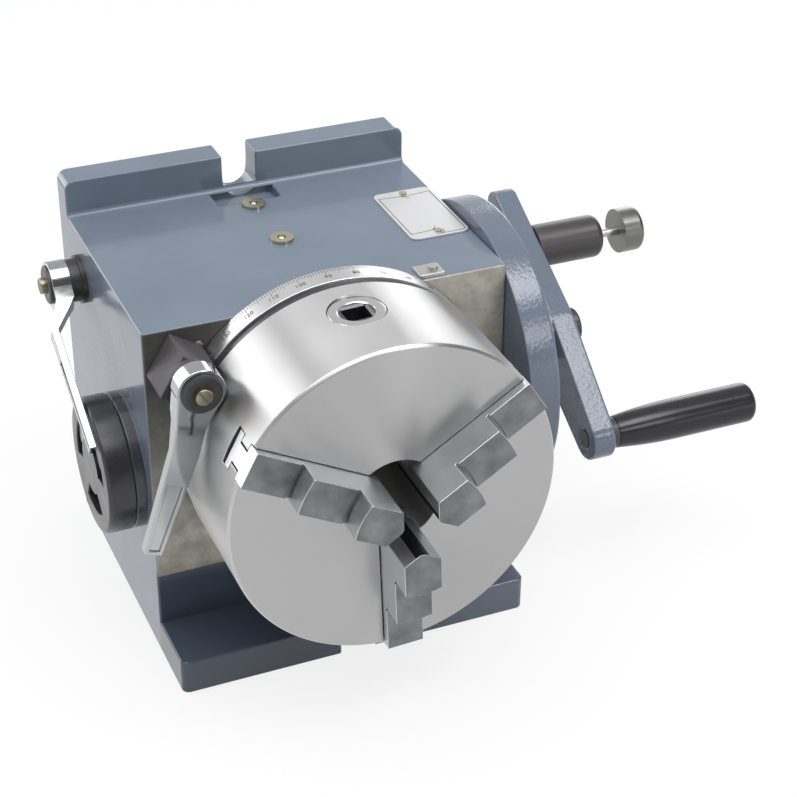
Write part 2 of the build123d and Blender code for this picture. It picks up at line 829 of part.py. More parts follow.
with BuildPart() as worm_end_cover:
    with BuildSketch(cross_plane(cover_face, boss_y, boss_z)):
        Circle(boss_r)
    extrude(amount=cover_run)
    chamfer(worm_end_cover.faces().sort_by(Axis.X)[0].edges(), cover_edge)
    with BuildSketch(cross_plane(boss_face, worm_y, worm_z)):
        Circle(worm_nut_r + nut_room)
    extrude(amount=-worm_nut_width - side_gap - nut_room, mode=Mode.SUBTRACT)
    for middle in arc_slot_angles:
        for width, depth in ((arc_slot_width, arc_slot_depth), (arc_slot_inner_width, cover_run)):
            with BuildSketch(cross_plane(cover_face, boss_y, boss_z)):
                with BuildLine():
                    slot_out = CenterArc((0, 0), arc_slot_r + width / 2, middle - arc_slot_half,
                                         2 * arc_slot_half)
                    slot_in = CenterArc((0, 0), arc_slot_r - width / 2, middle - arc_slot_half,
                                        2 * arc_slot_half)
                    Line(slot_out @ 0, slot_in @ 0)
                    Line(slot_out @ 1, slot_in @ 1)
                make_face()
            extrude(amount=depth, mode=Mode.SUBTRACT)
worm_end_cover.part.label = "worm_end_cover"
export_step(worm_end_cover.part, "parts/worm_end_cover.step")

with BuildPart() as cover_screws:
    with BuildSketch(cross_plane(cover_face + arc_slot_depth, boss_y, boss_z)):
        for angle in cover_screw_angles:
            with PolarLocations(arc_slot_r, 1, start_angle=angle):
                Circle(cover_screw_head_r)
    extrude(amount=-cover_screw_head)
    with BuildSketch(cross_plane(cover_face + arc_slot_depth, boss_y, boss_z)):
        for angle in cover_screw_angles:
            with PolarLocations(arc_slot_r, 1, start_angle=angle):
                Circle(cover_screw_r)
    extrude(amount=cover_screw_run)
cover_screws.part.label = "cover_screws"
export_step(cover_screws.part, "parts/cover_screws.step")


# One to one gear outline, straight chords along each involute flank
def gear_points(phase):
    base_r = gear_pitch_r * math.cos(math.radians(pressure_angle))
    tip_r = gear_pitch_r + gear_addendum
    root_r = gear_pitch_r - gear_dedendum
    pitch_roll = math.tan(math.radians(pressure_angle)) - math.radians(pressure_angle)
    half = gear_thickness / (2 * gear_pitch_r)
    flank = [(root_r, half + pitch_roll)]
    for k in range(gear_flank_points):
        radius = base_r + (tip_r - base_r) * k / (gear_flank_points - 1)
        roll = math.acos(base_r / radius)
        flank.append((radius, half + pitch_roll - math.tan(roll) + roll))
    points = []
    for tooth in range(gear_teeth):
        middle = math.radians(phase) + tooth * 2 * math.pi / gear_teeth
        rising = [(radius, middle - angle) for radius, angle in flank]
        falling = [(radius, middle + angle) for radius, angle in reversed(flank)]
        points += [(radius * math.cos(angle), radius * math.sin(angle)) for radius, angle in rising + falling]
    return points


with BuildPart() as worm_gear:
    with BuildSketch(cross_plane(body_half + side_gap, worm_y, worm_z)):
        with BuildLine():
            Polyline(*gear_points(quarter + 180 / gear_teeth), close=True)
        make_face()
        Circle(worm_gear_seat_r + seat_fit, mode=Mode.SUBTRACT)
    extrude(amount=gear_width)
worm_gear.part.label = "worm_gear"
export_step(worm_gear.part, "parts/worm_gear.step")

with BuildPart() as crank_gear:
    with BuildSketch(cross_plane(body_half + side_gap, crank_y, crank_z)):
        with BuildLine():
            Polyline(*gear_points(-quarter), close=True)
        make_face()
        Circle(crank_gear_seat_r + seat_fit, mode=Mode.SUBTRACT)
    extrude(amount=gear_width)
crank_gear.part.label = "crank_gear"
export_step(crank_gear.part, "parts/crank_gear.step")

# Round side housing over the gears
with BuildPart() as gear_housing:
    with BuildSketch(cross_plane(body_half, crank_y, crank_z)):
        Circle(housing_r)
    extrude(amount=housing_run)
    fillet(gear_housing.faces().sort_by(Axis.X)[-1].edges(), housing_edge)
    with BuildSketch(cross_plane(body_half, crank_y, crank_z)):
        Circle(gear_room_r)
        with Locations((0, worm_z - crank_z)):
            Circle(gear_room_r)
        with Locations((0, (worm_z - crank_z) / 2)):
            Rectangle(2 * gear_room_r, crank_z - worm_z)
    extrude(amount=gear_room_depth, mode=Mode.SUBTRACT)
    with BuildSketch(cross_plane(body_half, crank_y, crank_z)):
        Circle(crank_bush_r + seat_fit)
    extrude(amount=housing_run, mode=Mode.SUBTRACT)
    with BuildSketch(cross_plane(housing_face, crank_y, crank_z)):
        for angle in housing_screw_angles:
            with PolarLocations(housing_screw_circle, 1, start_angle=angle):
                Circle(housing_screw_r + screw_gap)
    extrude(amount=-housing_run, mode=Mode.SUBTRACT)
    with BuildSketch(cross_plane(housing_face, crank_y, crank_z)):
        with PolarLocations(plate_screw_circle, plate_screw_count, start_angle=quarter):
            Circle(plate_screw_r + screw_gap)
    extrude(amount=-housing_run + gear_room_depth, mode=Mode.SUBTRACT)
gear_housing.part.label = "gear_housing"
export_step(gear_housing.part, "parts/gear_housing.step")

with BuildPart() as housing_screws:
    with BuildSketch(cross_plane(housing_face, crank_y, crank_z)):
        for angle in housing_screw_angles:
            with PolarLocations(housing_screw_circle, 1, start_angle=angle):
                Circle(housing_screw_head_r)
    extrude(amount=housing_screw_head)
    with BuildSketch(cross_plane(housing_face, crank_y, crank_z)):
        for angle in housing_screw_angles:
            with PolarLocations(housing_screw_circle, 1, start_angle=angle):
                Circle(housing_screw_r)
    extrude(amount=-housing_screw_run + side_gap)
housing_screws.part.label = "housing_screws"
export_step(housing_screws.part, "parts/housing_screws.step")

with BuildPart() as index_plate:
    with BuildSketch(cross_plane(housing_face, crank_y, crank_z)):
        Circle(plate_r)
        Circle(plate_centre_r, mode=Mode.SUBTRACT)
        with PolarLocations(plate_circle_outer, plate_holes_outer, start_angle=arm_angle):
            Circle(plate_hole_r, mode=Mode.SUBTRACT)
        with PolarLocations(plate_circle_inner, plate_holes_inner, start_angle=arm_angle):
            Circle(plate_hole_r, mode=Mode.SUBTRACT)
        with PolarLocations(plate_screw_circle, plate_screw_count, start_angle=quarter):
            Circle(plate_screw_r + screw_gap, mode=Mode.SUBTRACT)
    extrude(amount=plate_thickness)
index_plate.part.label = "index_plate"
export_step(index_plate.part, "parts/index_plate.step")

with BuildPart() as plate_screws:
    with BuildSketch(cross_plane(plate_face, crank_y, crank_z)):
        with PolarLocations(plate_screw_circle, plate_screw_count, start_angle=quarter):
            Circle(plate_screw_head_r)
    extrude(amount=plate_screw_head)
    with BuildSketch(cross_plane(plate_face, crank_y, crank_z)):
        with PolarLocations(plate_screw_circle, plate_screw_count, start_angle=quarter):
            Circle(plate_screw_r)
    extrude(amount=-plate_thickness - housing_run + gear_room_depth)
plate_screws.part.label = "plate_screws"
export_step(plate_screws.part, "parts/plate_screws.step")

with BuildPart() as crank_bush:
    with BuildSketch(cross_plane(housing_face, crank_y, crank_z)):
        Circle(crank_bush_flange_r)
    extrude(amount=crank_bush_flange)
    with BuildSketch(cross_plane(housing_face, crank_y, crank_z)):
        Circle(crank_bush_r)
    extrude(amount=-housing_run + gear_room_depth)
    with BuildSketch(cross_plane(body_half, crank_y, crank_z)):
        Circle(crank_shaft_r + run_fit)
    extrude(amount=housing_run + crank_bush_flange, mode=Mode.SUBTRACT)
crank_bush.part.label = "crank_bush"
export_step(crank_bush.part, "parts/crank_bush.step")

# Index crank
with BuildPart() as crank_shaft:
    with BuildSketch(Plane.XZ.offset(-crank_y)):
        with BuildLine():
            Polyline(
                (body_half - crank_pilot_run, crank_z),
                (body_half - crank_pilot_run, crank_z + crank_pilot_r),
                (body_half + side_gap, crank_z + crank_pilot_r),
                (body_half + side_gap, crank_z + crank_gear_seat_r),
                (body_half + side_gap + gear_width, crank_z + crank_gear_seat_r),
                (body_half + side_gap + gear_width, crank_z + crank_shaft_r),
                (crank_hub_start, crank_z + crank_shaft_r),
                (crank_hub_start, crank_z + crank_hub_seat_r),
                (arm_outer, crank_z + crank_hub_seat_r),
                (arm_outer, crank_z + crank_thread_r),
                (arm_outer + crank_nut_run, crank_z + crank_thread_r),
                (arm_outer + crank_nut_run, crank_z),
                close=True,
            )
        make_face()
    revolve(axis=Axis((0, crank_y, crank_z), (1, 0, 0)))
crank_shaft.part.label = "crank_shaft"
export_step(crank_shaft.part, "parts/crank_shaft.step")

arm_plane = Plane(origin=(arm_inner, crank_y, crank_z), x_dir=(0, arm_cos, arm_sin), z_dir=(1, 0, 0))
with BuildPart() as crank_arm:
    with BuildSketch(arm_plane):
        Circle(crank_hub_r)
        with Locations((arm_tip_reach, 0)):
            Circle(arm_tip_r)
        make_hull()
    extrude(amount=arm_thickness)
    with BuildSketch(arm_plane):
        Circle(crank_hub_r)
        with Locations((-arm_handle_reach, 0)):
            Circle(arm_handle_r)
        make_hull()
    extrude(amount=arm_thickness)
    fillet(crank_arm.faces().sort_by(Axis.X)[-1].edges(), arm_edge)
    with BuildSketch(arm_plane):
        Circle(crank_hub_r)
    extrude(amount=crank_hub_start - arm_inner)
    with BuildSketch(arm_plane):
        Circle(crank_hub_seat_r + seat_fit)
    extrude(amount=crank_hub_start - arm_inner, mode=Mode.SUBTRACT)
    with BuildSketch(arm_plane):
        Circle(crank_hub_seat_r + seat_fit)
        with Locations((plate_circle_outer, 0)):
            Circle(nose_r + seat_fit)
        with Locations((-arm_handle_reach, 0)):
            Circle(handle_post_r + seat_fit)
    extrude(amount=arm_thickness, mode=Mode.SUBTRACT)
crank_arm.part.label = "crank_arm"
export_step(crank_arm.part, "parts/crank_arm.step")

with BuildPart() as crank_nut:
    with BuildSketch(cross_plane(arm_outer, crank_y, crank_z)):
        Circle(crank_nut_r)
        Circle(crank_thread_r + seat_fit, mode=Mode.SUBTRACT)
    extrude(amount=crank_nut_run)
    fillet(crank_nut.edges().filter_by(GeomType.CIRCLE).group_by(Axis.X)[-1].sort_by(SortBy.RADIUS)[-1],
           arm_edge)
crank_nut.part.label = "crank_nut"
export_step(crank_nut.part, "parts/crank_nut.step")

# Index plunger
nose_start = plate_face + nose_gap
spring_wall = arm_outer + plunger_run
spring_back = spring_wall - plunger_wall
spring_front = spring_back - spring_room
with BuildPart() as plunger_barrel:
    with BuildSketch(cross_plane(arm_outer, plunger_y, plunger_z)):
        Circle(plunger_r)
    extrude(amount=plunger_run)
    fillet(plunger_barrel.faces().sort_by(Axis.X)[-1].edges(), plunger_edge)
    with BuildSketch(cross_plane(nose_start, plunger_y, plunger_z)):
        Circle(nose_r)
    extrude(amount=arm_outer - nose_start)
    with BuildSketch(cross_plane(nose_start, plunger_y, plunger_z)):
        Circle(nose_bore_r)
    extrude(amount=spring_front - nose_start, mode=Mode.SUBTRACT)
    with BuildSketch(cross_plane(spring_front, plunger_y, plunger_z)):
        Circle(spring_bore_r)
    extrude(amount=spring_room, mode=Mode.SUBTRACT)
    with BuildSketch(cross_plane(spring_back, plunger_y, plunger_z)):
        Circle(rod_r + screw_gap)
    extrude(amount=plunger_wall, mode=Mode.SUBTRACT)
plunger_barrel.part.label = "plunger_barrel"
export_step(plunger_barrel.part, "parts/plunger_barrel.step")

knob_start = spring_wall + knob_gap
with BuildPart() as index_pin:
    with BuildSketch(Plane.XZ.offset(-plunger_y)):
        with BuildLine():
            Polyline(
                (plate_face + pin_gap, plunger_z),
                (plate_face + pin_gap, plunger_z + pin_tip_r),
                (plate_face + pin_gap + pin_tip_run, plunger_z + pin_r),
                (spring_front + side_gap, plunger_z + pin_r),
                (spring_front + side_gap, plunger_z + pin_collar_r),
                (spring_front + side_gap + pin_collar_run, plunger_z + pin_collar_r),
                (spring_front + side_gap + pin_collar_run, plunger_z + rod_r),
                (knob_start + knob_sink, plunger_z + rod_r),
                (knob_start + knob_sink, plunger_z),
                close=True,
            )
        make_face()
    revolve(axis=Axis((0, plunger_y, plunger_z), (1, 0, 0)))
index_pin.part.label = "index_pin"
export_step(index_pin.part, "parts/index_pin.step")

with BuildPart() as plunger_knob:
    with BuildSketch(cross_plane(knob_start, plunger_y, plunger_z)):
        Circle(knob_r)
    extrude(amount=knob_run)
    fillet(plunger_knob.faces().sort_by(Axis.X)[-1].edges(), knob_edge)
    with BuildSketch(cross_plane(knob_start, plunger_y, plunger_z)):
        Circle(rod_r + seat_fit)
    extrude(amount=knob_sink, mode=Mode.SUBTRACT)
plunger_knob.part.label = "plunger_knob"
export_step(plunger_knob.part, "parts/plunger_knob.step")

spring_begin = spring_front + side_gap + pin_collar_run + spring_wire_r
with BuildPart() as plunger_spring:
    with BuildLine() as spring_path:
        Helix(pitch=(spring_back - spring_wire_r - spring_begin) / spring_turns,
              height=spring_back - spring_wire_r - spring_begin, radius=spring_r,
              center=(spring_begin, plunger_y, plunger_z), direction=(1, 0, 0))
    with BuildSketch(Plane(origin=spring_path.line @ 0, z_dir=spring_path.line % 0)):
        RegularPolygon(spring_wire_r, hex_sides)
    sweep(is_frenet=True)
plunger_spring.part.label = "plunger_spring"
export_step(plunger_spring.part, "parts/plunger_spring.step")

# Crank handle
grip_start = arm_outer + handle_collar + grip_float
with BuildPart() as handle_post:
    with BuildSketch(cross_plane(arm_inner, handle_y, handle_z)):
        Circle(handle_post_r)
    extrude(amount=arm_thickness + handle_collar + grip_run - grip_floor - grip_float)
    with BuildSketch(cross_plane(arm_outer, handle_y, handle_z)):
        Circle(handle_collar_r)
    extrude(amount=handle_collar)
handle_post.part.label = "handle_post"
export_step(handle_post.part, "parts/handle_post.step")

with BuildPart() as handle_grip:
    with BuildSketch(Plane.XZ.offset(-handle_y)):
        with BuildLine():
            grip_root = Line((grip_start, handle_z + handle_post_r + run_fit),
                             (grip_start, handle_z + grip_root_r))
            grip_rise = Spline(grip_root @ 1, (grip_start + grip_swell, handle_z + grip_end_r),
                               tangents=((1, grip_swell_slope), (1, 0)))
            grip_side = Line(grip_rise @ 1, (grip_start + grip_run - grip_dome, handle_z + grip_end_r))
            grip_round = TangentArc(grip_side @ 1, (grip_start + grip_run, handle_z + grip_end_r - grip_dome),
                                    tangent=grip_side % 1)
            Polyline(
                grip_round @ 1,
                (grip_start + grip_run, handle_z),
                (grip_start + grip_run - grip_floor, handle_z),
                (grip_start + grip_run - grip_floor, handle_z + handle_post_r + run_fit),
                grip_root @ 0,
            )
        make_face()
    revolve(axis=Axis((0, handle_y, handle_z), (1, 0, 0)))
handle_grip.part.label = "handle_grip"
export_step(handle_grip.part, "parts/handle_grip.step")

# Graduated ring and the plate behind the chuck
with BuildPart() as graduated_ring:
    with BuildSketch(chuck_plane(-ring_gap)):
        Circle(ring_r)
        Circle(spindle_flange_r + seat_fit, mode=Mode.SUBTRACT)
    extrude(amount=-ring_gap - ring_front_y)
graduated_ring.part.label = "graduated_ring"
export_step(graduated_ring.part, "parts/graduated_ring.step")

with BuildPart() as chuck_back_plate:
    with BuildSketch(chuck_plane(ring_front_y)):
        Circle(back_plate_r)
        Circle(spigot_r + seat_fit, mode=Mode.SUBTRACT)
        with PolarLocations(chuck_bolt_circle, jaw_count, start_angle=chuck_turn):
            Circle(chuck_bolt_r + screw_gap, mode=Mode.SUBTRACT)
    extrude(amount=back_plate_run)
chuck_back_plate.part.label = "chuck_back_plate"
export_step(chuck_back_plate.part, "parts/chuck_back_plate.step")

# Chuck body with jaw ways, scroll pocket and key holes
with BuildPart() as chuck_body:
    with BuildSketch(chuck_plane(chuck_rear_y)):
        Circle(chuck_r)
    extrude(amount=chuck_rear_y - chuck_face_y)
    chamfer(chuck_body.edges().filter_by(GeomType.CIRCLE), face_chamfer)
    with BuildSketch(chuck_plane(chuck_rear_y)):
        Circle(chuck_bore_r)
    extrude(amount=chuck_rear_y - chuck_face_y, mode=Mode.SUBTRACT)
    with BuildSketch(chuck_plane(chuck_rear_y)):
        Circle(cover_seat_r)
    extrude(amount=chuck_rear_y - cover_seat_y, mode=Mode.SUBTRACT)
    with BuildSketch(chuck_plane(cover_seat_y)):
        Circle(pocket_r)
        Circle(pocket_hub_r, mode=Mode.SUBTRACT)
    extrude(amount=cover_seat_y - pocket_front_y, mode=Mode.SUBTRACT)
    for angle in jaw_angles:
        with BuildSketch(radial_plane(angle, chuck_face_y, 0)):
            with BuildLine():
                way_edge = [
                    (slot_half, cut_over),
                    (slot_half, -rib_top - rib_gap),
                    (rib_half, -rib_top - rib_gap),
                    (rib_half, -rib_floor + rib_gap),
                    (slot_half, -rib_floor + rib_gap),
                    (slot_half, -jaw_base - way_floor_gap),
                ]
                Polyline(*way_edge, *[(-x, h) for x, h in reversed(way_edge)], close=True)
            make_face()
        extrude(amount=chuck_r + cut_over, mode=Mode.SUBTRACT)
    for angle in pinion_angles:
        with BuildSketch(radial_plane(angle, pinion_y, pocket_r - cut_over)):
            Circle(pinion_head_r + pinion_head_gap)
        extrude(amount=chuck_r - pocket_r + 2 * cut_over, mode=Mode.SUBTRACT)
chuck_body.part.label = "chuck_body"
export_step(chuck_body.part, "parts/chuck_body.step")

with BuildPart() as chuck_rear_cover:
    with BuildSketch(chuck_plane(chuck_rear_y)):
        Circle(cover_seat_r - seat_fit)
        Circle(chuck_bore_r, mode=Mode.SUBTRACT)
    extrude(amount=chuck_rear_y - cover_seat_y)
    with BuildSketch(chuck_plane(cover_seat_y)):
        Circle(pocket_r - cover_gap)
        Circle(pocket_hub_r + cover_gap, mode=Mode.SUBTRACT)
    extrude(amount=cover_seat_y - cover_front_y)
    with BuildSketch(chuck_plane(cover_front_y)):
        Circle(pocket_r - cover_gap)
        Circle(cover_land_r, mode=Mode.SUBTRACT)
    extrude(amount=cover_front_y - scroll_back_y)
    for angle in pinion_angles:
        with BuildSketch(radial_plane(angle, pinion_y, pinion_inner - side_gap)):
            Circle(pinion_shaft_r + run_fit)
        extrude(amount=pocket_r - pinion_inner + side_gap, mode=Mode.SUBTRACT)
        with BuildSketch(radial_plane(angle, pinion_y, fin_inner - fin_room_side)):
            Circle(fin_room_r)
        extrude(amount=fin_outer - fin_inner + 2 * fin_room_side, mode=Mode.SUBTRACT)
    with BuildSketch(chuck_plane(chuck_rear_y)):
        with PolarLocations(chuck_bolt_circle, jaw_count, start_angle=chuck_turn):
            Circle(chuck_bolt_r + screw_gap)
    extrude(amount=chuck_bolt_run, mode=Mode.SUBTRACT)
chuck_rear_cover.part.label = "chuck_rear_cover"
export_step(chuck_rear_cover.part, "parts/chuck_rear_cover.step")

with BuildPart() as chuck_bolts:
    with BuildSketch(chuck_plane(bolt_seat_y)):
        with PolarLocations(chuck_bolt_circle, jaw_count, start_angle=chuck_turn):
            Circle(chuck_bolt_head_r)
    extrude(amount=-chuck_bolt_head)
    with BuildSketch(chuck_plane(bolt_seat_y)):
        with PolarLocations(chuck_bolt_circle, jaw_count, start_angle=chuck_turn):
            Circle(chuck_bolt_r)
    extrude(amount=chuck_bolt_run)
chuck_bolts.part.label = "chuck_bolts"
export_step(chuck_bolts.part, "parts/chuck_bolts.step")

# Scroll plate, the spiral drawn as quarter arcs about the corners of a small square
with BuildPart() as scroll_plate:
    with BuildSketch(chuck_plane(scroll_back_y)):
        Circle(scroll_r)
        Circle(scroll_bore_r, mode=Mode.SUBTRACT)
    extrude(amount=scroll_back_y - scroll_front_y)
    with BuildSketch(chuck_plane(scroll_front_y)):
        with BuildLine():
            half_step = spiral_step / 2
            corners = ((-half_step, half_step), (-half_step, -half_step),
                       (half_step, -half_step), (half_step, half_step))
            spiral_ends = []
            for side in (-1, 1):
                edge_r = scroll_start + half_step + side * scroll_groove / 2
                arcs = [
                    CenterArc(corners[k % len(corners)], edge_r + k * spiral_step, quarter * k, quarter)
                    for k in range(scroll_quarters)
                ]
                spiral_ends.append((arcs[0] @ 0, arcs[-1] @ 1))
            for inner_end, outer_end in zip(*spiral_ends):
                Line(inner_end, outer_end)
        make_face()
    extrude(amount=-scroll_groove_depth, mode=Mode.SUBTRACT)
    with BuildSketch(chuck_plane(scroll_back_y)):
        with PolarLocations((notch_inner + notch_outer) / 2, notch_count, start_angle=pinion_angles[0]):
            Rectangle(notch_outer - notch_inner, notch_width)
    extrude(amount=scroll_back_y - notch_floor_y, mode=Mode.SUBTRACT)
scroll_plate.part.label = "scroll_plate"
export_step(scroll_plate.part, "parts/scroll_plate.step")

# Pinions that turn the scroll
for number, angle in enumerate(pinion_angles, start=1):
    with BuildPart() as pinion:
        with BuildSketch(radial_plane(angle, pinion_y, pinion_inner)):
            Circle(pinion_shaft_r)
        extrude(amount=fin_inner - pinion_inner)
        with BuildSketch(radial_plane(angle, pinion_y, fin_inner)):
            Circle(pinion_root_r)
            with PolarLocations(0, pinion_teeth, start_angle=quarter):
                Rectangle(fin_tip_r, fin_thickness, align=(Align.MIN, Align.CENTER))
        extrude(amount=fin_outer - fin_inner)
        with BuildSketch(radial_plane(angle, pinion_y, fin_outer)):
            Circle(pinion_shaft_r)
        extrude(amount=pinion_neck - fin_outer)
        with BuildSketch(radial_plane(angle, pinion_y, pinion_neck)):
            Circle(pinion_head_r)
        extrude(amount=pinion_end - pinion_neck - pinion_edge)
        with BuildSketch(radial_plane(angle, pinion_y, pinion_end - pinion_edge)):
            Circle(pinion_head_r - pinion_edge)
        extrude(amount=pinion_edge)
        with BuildSketch(radial_plane(angle, pinion_y, pinion_end)):
            Rectangle(socket_side, socket_side)
        extrude(amount=-socket_depth, mode=Mode.SUBTRACT)
        with BuildSketch(radial_plane(angle, pinion_y, pinion_end - socket_lead)):
            Rectangle(socket_side, socket_side)
        with BuildSketch(radial_plane(angle, pinion_y, pinion_end)):
            Rectangle(socket_side + 2 * socket_lead, socket_side + 2 * socket_lead)
        loft(mode=Mode.SUBTRACT)
    pinion.part.label = f"pinion_{number}"
    export_step(pinion.part, f"parts/pinion_{number}.step")

# Stepped jaws with scroll teeth, each row where the spiral passes that jaw
for number, angle in enumerate(jaw_angles, start=1):
    tooth_turns = math.ceil((jaw_tooth_first - scroll_start) / scroll_pitch - angle / 360)
    tooth_r = scroll_start + scroll_pitch * (angle / 360 + tooth_turns)
    with BuildPart() as jaw:
        with BuildSketch(jaw_plane(angle, jaw_base_y)):
            with BuildLine():
                Polyline(
                    (jaw_nose, -jaw_land_half),
                    (jaw_nose, jaw_land_half),
                    (jaw_nose + jaw_flank, jaw_half),
                    (jaw_end, jaw_half),
                    (jaw_end, -jaw_half),
                    (jaw_nose + jaw_flank, -jaw_half),
                    close=True,
                )
            make_face()
        extrude(amount=jaw_base + jaw_height)
        for step, step_r in enumerate((jaw_step_inner, jaw_step_outer), start=1):
            step_y = chuck_face_y - jaw_height + step * jaw_step_drop
            with BuildSketch(chuck_plane(step_y)):
                Circle(2 * jaw_end)
                Circle(step_r, mode=Mode.SUBTRACT)
            extrude(amount=step * jaw_step_drop + cut_over, mode=Mode.SUBTRACT)
            with BuildSketch(chuck_plane(step_y)):
                Circle(step_r + jaw_relief)
                Circle(step_r, mode=Mode.SUBTRACT)
            extrude(amount=-jaw_relief, mode=Mode.SUBTRACT)
        with BuildSketch(radial_plane(angle, chuck_face_y, 0)):
            groove_cut = jaw_half - web_half + cut_over
            for side in (-1, 1):
                with Locations((side * (web_half + groove_cut / 2), -(rib_top + rib_floor) / 2)):
                    Rectangle(groove_cut, rib_floor - rib_top)
        extrude(amount=jaw_end + cut_over, mode=Mode.SUBTRACT)
        with BuildSketch(chuck_plane(jaw_base_y)):
            for row in range(jaw_tooth_rows):
                with PolarLocations(tooth_r + row * scroll_pitch, 1, start_angle=angle):
                    Rectangle(jaw_tooth, 2 * jaw_tooth_half)
        extrude(amount=-jaw_tooth_height)
    jaw.part.label = f"jaw_{number}"
    export_step(jaw.part, f"parts/jaw_{number}.step")

# Small pieces on the top face
with BuildPart() as zero_pointer:
    with BuildSketch(Plane.XY.offset(body_top)):
        with Locations(((pointer_left + pointer_right) / 2, (pointer_front + pointer_back) / 2)):
            Rectangle(pointer_right - pointer_left, pointer_back - pointer_front)
        with Locations((pointer_screw_x, pointer_screw_y)):
            Circle(pointer_screw_r + seat_fit, mode=Mode.SUBTRACT)
    extrude(amount=pointer_height)
zero_pointer.part.label = "zero_pointer"
export_step(zero_pointer.part, "parts/zero_pointer.step")

with BuildPart() as pointer_screw:
    with BuildSketch(Plane.XY.offset(body_top + pointer_height)):
        with Locations((pointer_screw_x, pointer_screw_y)):
            Circle(pointer_screw_head_r)
    extrude(amount=pointer_screw_head)
    with BuildSketch(Plane.XY.offset(body_top + pointer_height)):
        with Locations((pointer_screw_x, pointer_screw_y)):
            Circle(pointer_screw_r)
    extrude(amount=-pointer_screw_run)
pointer_screw.part.label = "pointer_screw"
export_step(pointer_screw.part, "parts/pointer_screw.step")

with BuildPart() as name_plate:
    with BuildSketch(Plane.XY.offset(body_top)):
        with Locations((name_x, name_y)):
            RectangleRounded(name_width, name_run, name_corner)
        for row in rivet_rows:
            with Locations((name_x, row)):
                Circle(rivet_shank_r + seat_fit, mode=Mode.SUBTRACT)
    extrude(amount=name_thickness)
name_plate.part.label = "name_plate"
export_step(name_plate.part, "parts/name_plate.step")

with BuildPart() as name_rivets:
    with BuildSketch(Plane.XY.offset(body_top + name_thickness)):
        for row in rivet_rows:
            with Locations((name_x, row)):
                Circle(rivet_r)
    extrude(amount=rivet_head)
    with BuildSketch(Plane.XY.offset(body_top + name_thickness)):
        for row in rivet_rows:
            with Locations((name_x, row)):
                Circle(rivet_shank_r)
    extrude(amount=-rivet_run)
name_rivets.part.label = "name_rivets"
export_step(name_rivets.part, "parts/name_rivets.step")

ball_z = body_top + oiler_rim + oiler_ball_proud - oiler_ball_r
with BuildPart() as oiler_cups:
    with BuildSketch(Plane.XY.offset(body_top)):
        for row in oiler_rows:
            with Locations((0, row)):
                Circle(oiler_r)
    extrude(amount=oiler_rim)
    with BuildSketch(Plane.XY.offset(body_top)):
        for row in oiler_rows:
            with Locations((0, row)):
                Circle(oiler_stem_r)
    extrude(amount=-oiler_stem)
    with BuildSketch(Plane.XY.offset(ball_z - oiler_ball_r)):
        for row in oiler_rows:
            with Locations((0, row)):
                Circle(oiler_ball_r + seat_fit)
    extrude(amount=2 * oiler_ball_r, mode=Mode.SUBTRACT)
oiler_cups.part.label = "oiler_cups"
export_step(oiler_cups.part, "parts/oiler_cups.step")

with BuildPart() as oiler_balls:
    for row in oiler_rows:
        with Locations((0, row, ball_z)):
            Sphere(oiler_ball_r)
oiler_balls.part.label = "oiler_balls"
export_step(oiler_balls.part, "parts/oiler_balls.step")

# Clamp block and the bush of the side lever
with BuildPart() as clamp_block:
    with BuildSketch(chuck_plane(0)):
        with PolarLocations((block_inner + block_outer) / 2, 1, start_angle=block_angle):
            Rectangle(block_outer - block_inner, 2 * block_half)
    extrude(amount=block_run)
    with BuildSketch(front_plane(clamp_x, -block_run, clamp_z)):
        Circle(block_collar_r)
    extrude(amount=block_collar)
    with BuildSketch(front_plane(clamp_x, 0, clamp_z)):
        Circle(clamp_shaft_r + run_fit)
    extrude(amount=block_run + block_collar, mode=Mode.SUBTRACT)
clamp_block.part.label = "clamp_block"
export_step(clamp_block.part, "parts/clamp_block.step")

with BuildPart() as side_lever_bush:
    with BuildSketch(cross_plane(-body_half, side_y, side_z)):
        Circle(side_bush_r)
    extrude(amount=-side_bush_run)
    with BuildSketch(cross_plane(-body_half, side_y, side_z)):
        Circle(side_bush_collar_r)
    extrude(amount=-side_bush_collar)
    with BuildSketch(cross_plane(-body_half, side_y, side_z)):
        Circle(side_shaft_r + run_fit)
    extrude(amount=-side_bush_run, mode=Mode.SUBTRACT)
side_lever_bush.part.label = "side_lever_bush"
export_step(side_lever_bush.part, "parts/side_lever_bush.step")

